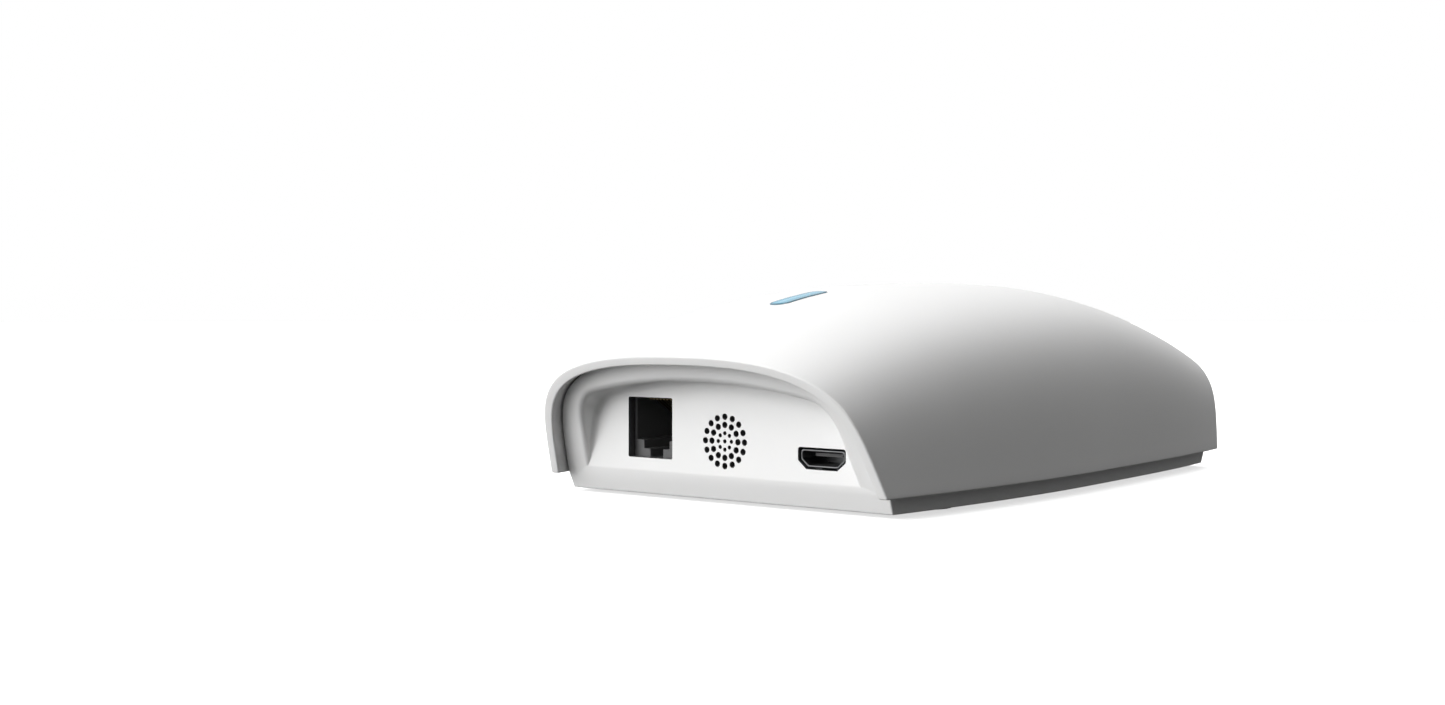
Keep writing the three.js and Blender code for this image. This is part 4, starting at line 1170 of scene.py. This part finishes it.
class HUB_OT_network_jack(bpy.types.Operator):
    """Build the network jack's moulding, with its stepped mouth for a latched plug"""

    bl_idname = "hub.network_jack"
    bl_label = "Build Network Jack"

    CEILING_DROP = 0.3 * MM  # below the window's upper edge
    FLOOR_WALL = 0.45 * MM
    EDGE_WIDTH = 0.22 * MM

    def execute(self, context):
        ports = context.scene.hub_ports
        low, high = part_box("network_jack_housing")
        x = (low.x + high.x) / 2
        window = UNDERSIDE + ports.jack_low
        sill, notch = window + ports.cavity_sill, window + ports.notch_sill
        ceiling = UNDERSIDE + ports.jack_high - self.CEILING_DROP
        floor = low.z + self.FLOOR_WALL
        bm = bmesh.new()
        block(bm, low, high)
        housing = to_object("network_jack", bm)
        right = [
            (ports.key_width / 2, floor), (ports.key_width / 2, notch), (ports.notch_width / 2, notch),
            (ports.notch_width / 2, sill), (ports.cavity_width / 2, sill), (ports.cavity_width / 2, ceiling),
        ]
        mouth = [(x + w, z) for w, z in right] + [(x - w, z) for w, z in reversed(right)]
        bm = bmesh.new()
        ends = (low.y - MM, low.y + ports.cavity_depth)
        loft(bm, [[Vector((a, y, z)) for a, z in mouth] for y in ends])
        combine(housing, "DIFFERENCE", bm)
        soften(housing, self.EDGE_WIDTH, 3)
        smooth(housing)
        finish_piece(housing, ["network_jack_housing"], MATERIALS["black_plastic"])
        return {"FINISHED"}


class HUB_OT_power_socket(bpy.types.Operator):
    """Build the power socket's folded shell with its two legs"""

    bl_idname = "hub.power_socket"
    bl_label = "Build Power Socket"

    LEG = 0.8 * MM  # half the width of each leg
    CORNER = 0.75 * MM  # radius of the shell's corners

    def execute(self, context):
        ports = context.scene.hub_ports
        low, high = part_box("power_socket_shell")
        back = high.y
        outer, inner = ports.socket_gap, ports.socket_gap + ports.socket_wall
        middle_inset, fold = (outer + inner) / 2, ports.socket_wall / 2
        steps = [(outer, back), (outer, low.y + fold)]
        for k in range(1, 6):
            turn = math.pi * k / 6
            steps.append((middle_inset - fold * math.cos(turn), low.y + fold * (1 - math.sin(turn))))
        steps += [(inner, low.y + fold), (inner, back - MM)]
        bm = bmesh.new()
        loft(bm, [
            [Vector((p.x, y, p.y)) for p in socket_outline(ports, inset, self.CORNER - inset / 4)]
            for inset, y in steps
        ])
        shell = to_object("power_socket", bm)
        bm = bmesh.new()
        x = (low.x + high.x) / 2
        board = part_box("main_board")[0].y + SEAT_GAP
        shell_low = UNDERSIDE + ports.socket_low + outer
        leg_x = ports.socket_width / 2 - outer - ports.chamfer_width - self.LEG
        for side in (-1, 1):
            at = x + side * leg_x
            block(bm, (at - self.LEG, board, low.z), (at + self.LEG, back, shell_low + fold))
        combine(shell, "UNION", bm)
        smooth(shell)
        finish_piece(shell, ["power_socket_shell"], MATERIALS["socket_steel"])
        return {"FINISHED"}


class HUB_OT_feet(bpy.types.Operator):
    """Build the four rubber feet, dished underneath and round at the rim"""

    bl_idname = "hub.feet"
    bl_label = "Build Feet"

    DISH_DEPTH = 0.2 * MM
    DISH, RIM = 0.55, 0.68  # where the dish and the flat rim round it start, as shares of the radius
    FILLET = 0.45 * MM
    FILLET_STEPS = 4

    def execute(self, context):
        for i in range(1, 5):
            node = f"foot_{i}"
            low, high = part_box(node)
            radius = (high.x - low.x) / 2
            dish = low.z + self.DISH_DEPTH
            profile = [(0.0, dish), (radius * self.DISH, dish), (radius * self.RIM, low.z)]
            for turn in quarter(self.FILLET_STEPS):
                inward = self.FILLET * (1 - math.sin(turn))
                profile.append((radius - inward, low.z + self.FILLET * (1 - math.cos(turn))))
            profile += [(radius, high.z), (0.0, high.z)]
            bm = bmesh.new()
            turned(bm, profile, (low.x + high.x) / 2, (low.y + high.y) / 2, 48)
            foot = to_object(f"rubber_{node}", bm)
            smooth(foot)
            finish_piece(foot, [node], MATERIALS["foot_rubber"])
        return {"FINISHED"}


class HUB_OT_stage(bpy.types.Operator):
    """Set the floor, the studio lights and the camera"""

    bl_idname = "hub.stage"
    bl_label = "Set Stage"

    # The room's soft lights: where each comes from, its strength, and how closely it is gathered.
    SOFT_LIGHTS = (
        (Vector((-0.5, -0.8, 0.33)), 5.5, 7.0),
        (Vector((-0.35, 0.68, 0.64)), 2.7, 3.1),
    )
    DIM = 0.13  # the rest of the room, above the floor
    DIM_BELOW = 0.04
    GLOSS = 0.35  # share of the room's light that shows in gloss
    EDGE_LIGHT = ((0.98, -0.28, 0.7), 0.5, 22.0)  # place, size and power
    EYE = (0.2238, -0.3628, 0.04284)
    EYE_TURN = math.radians(37.87)
    LENS, SENSOR, SHIFT = 40.83, 36.0, -0.0286
    FLOOR_RADIUS = 6.0

    def execute(self, context):
        scene = context.scene
        self.floor()
        self.world(scene)
        self.edge_light(scene)
        camera = bpy.data.cameras.new("camera")
        camera.lens = self.LENS
        camera.sensor_width = self.SENSOR
        camera.shift_y = self.SHIFT
        camera.clip_start = 0.01
        scene.camera = bpy.data.objects.new("camera", camera)
        scene.camera.location = self.EYE
        scene.camera.rotation_euler = (math.pi / 2, 0.0, self.EYE_TURN)
        scene.collection.objects.link(scene.camera)
        scene.view_settings.view_transform = "Standard"
        return {"FINISHED"}

    def floor(self):
        """A pale floor, wide enough to reach past every view."""
        bm = bmesh.new()
        bmesh.ops.create_circle(bm, cap_ends=True, radius=self.FLOOR_RADIUS, segments=96)
        floor = to_object("floor", bm)
        made = moulded("pale_floor", (0.9, 0.9, 0.9), 0.75, 4 * MM, 0.002 * MM, 0.004, 0.1)
        made.shader.inputs["Emission Color"].default_value = (1, 1, 1, 1)
        made.shader.inputs["Emission Strength"].default_value = 0.6
        floor.data.materials.append(made.material)
        floor.visible_diffuse = False
        floor.visible_glossy = False
        floor.visible_shadow = False

    def world(self, scene):
        """A white room, dim but for its soft lights, which fade smoothly into it."""
        scene.world = bpy.data.worlds.new("studio")
        scene.world.use_nodes = True
        tree = scene.world.node_tree
        link = tree.links.new

        def add(kind, operation=None, *values):
            node = tree.nodes.new(kind)
            if operation:
                node.operation = operation
            for socket, value in zip(node.inputs, values):
                if isinstance(value, bpy.types.NodeSocket):
                    link(value, socket)
                elif value is not None:
                    socket.default_value = value
            return node

        toward = add("ShaderNodeTexCoord").outputs["Generated"]
        height = add("ShaderNodeSeparateXYZ", None, toward).outputs["Z"]
        lit = add("ShaderNodeMapRange", None, height, -0.05, 0.05, self.DIM_BELOW, self.DIM).outputs[0]
        for place, strength, gathered in self.SOFT_LIGHTS:
            facing = add("ShaderNodeVectorMath", "DOT_PRODUCT", toward, place.normalized())
            soft = add("ShaderNodeMath", "MAXIMUM", facing.outputs["Value"], 0.0).outputs[0]
            fade = add("ShaderNodeMath", "POWER", soft, gathered).outputs[0]
            lit = add("ShaderNodeMath", "MULTIPLY_ADD", fade, strength, lit).outputs[0]
        path = add("ShaderNodeLightPath")
        share = add("ShaderNodeMapRange", None, path.outputs["Is Glossy Ray"], 0.0, 1.0, 1.0, self.GLOSS)
        lit = add("ShaderNodeMath", "MULTIPLY", lit, share.outputs[0]).outputs[0]
        shown = add("ShaderNodeMix", None, path.outputs["Is Camera Ray"], None, lit, 1.0)
        background = tree.nodes["Background"]
        background.inputs["Color"].default_value = (1, 1, 1, 1)
        link(shown.outputs[0], background.inputs["Strength"])

    def edge_light(self, scene):
        """A soft light from the right that shows in gloss only, as a strip on rounded edges."""
        lamp = bpy.data.lights.new("edge_light", "AREA")
        place, lamp.size, lamp.energy = self.EDGE_LIGHT
        holder = bpy.data.objects.new("edge_light", lamp)
        holder.location = place
        holder.rotation_euler = (-holder.location).to_track_quat("-Z", "Y").to_euler()
        holder.visible_diffuse = False
        scene.collection.objects.link(holder)


class HUB_PT_panel(bpy.types.Panel):
    """The hub's build steps and sizes"""

    bl_label = "Smart Home Hub"
    bl_idname = "HUB_PT_panel"
    bl_space_type = "VIEW_3D"
    bl_region_type = "UI"
    bl_category = "Hub"

    def draw(self, context):
        for operator in OPERATORS:
            self.layout.operator(operator.bl_idname)
        for group in SETTINGS:
            box = self.layout.box()
            settings = getattr(context.scene, group)
            for name in settings.__annotations__:
                box.prop(settings, name)


OPERATORS = (
    HUB_OT_materials,
    HUB_OT_cover,
    HUB_OT_base,
    HUB_OT_light_bar,
    HUB_OT_network_jack,
    HUB_OT_power_socket,
    HUB_OT_feet,
    HUB_OT_stage,
)
SETTINGS = {
    "hub_casing": CasingSizes,
    "hub_base": BaseSizes,
    "hub_ports": PortSizes,
    "hub_colours": FinishColours,
}


def register():
    for group in (*SETTINGS.values(), *OPERATORS, HUB_PT_panel):
        bpy.utils.register_class(group)
    for name, group in SETTINGS.items():
        setattr(bpy.types.Scene, name, PointerProperty(type=group))


def unregister():
    for name in SETTINGS:
        delattr(bpy.types.Scene, name)
    for group in (HUB_PT_panel, *reversed(OPERATORS), *SETTINGS.values()):
        bpy.utils.unregister_class(group)


def main():
    register()
    for operator in OPERATORS:
        family, name = operator.bl_idname.split(".")
        getattr(getattr(bpy.ops, family), name)()


if __name__ == "__main__":
    main()
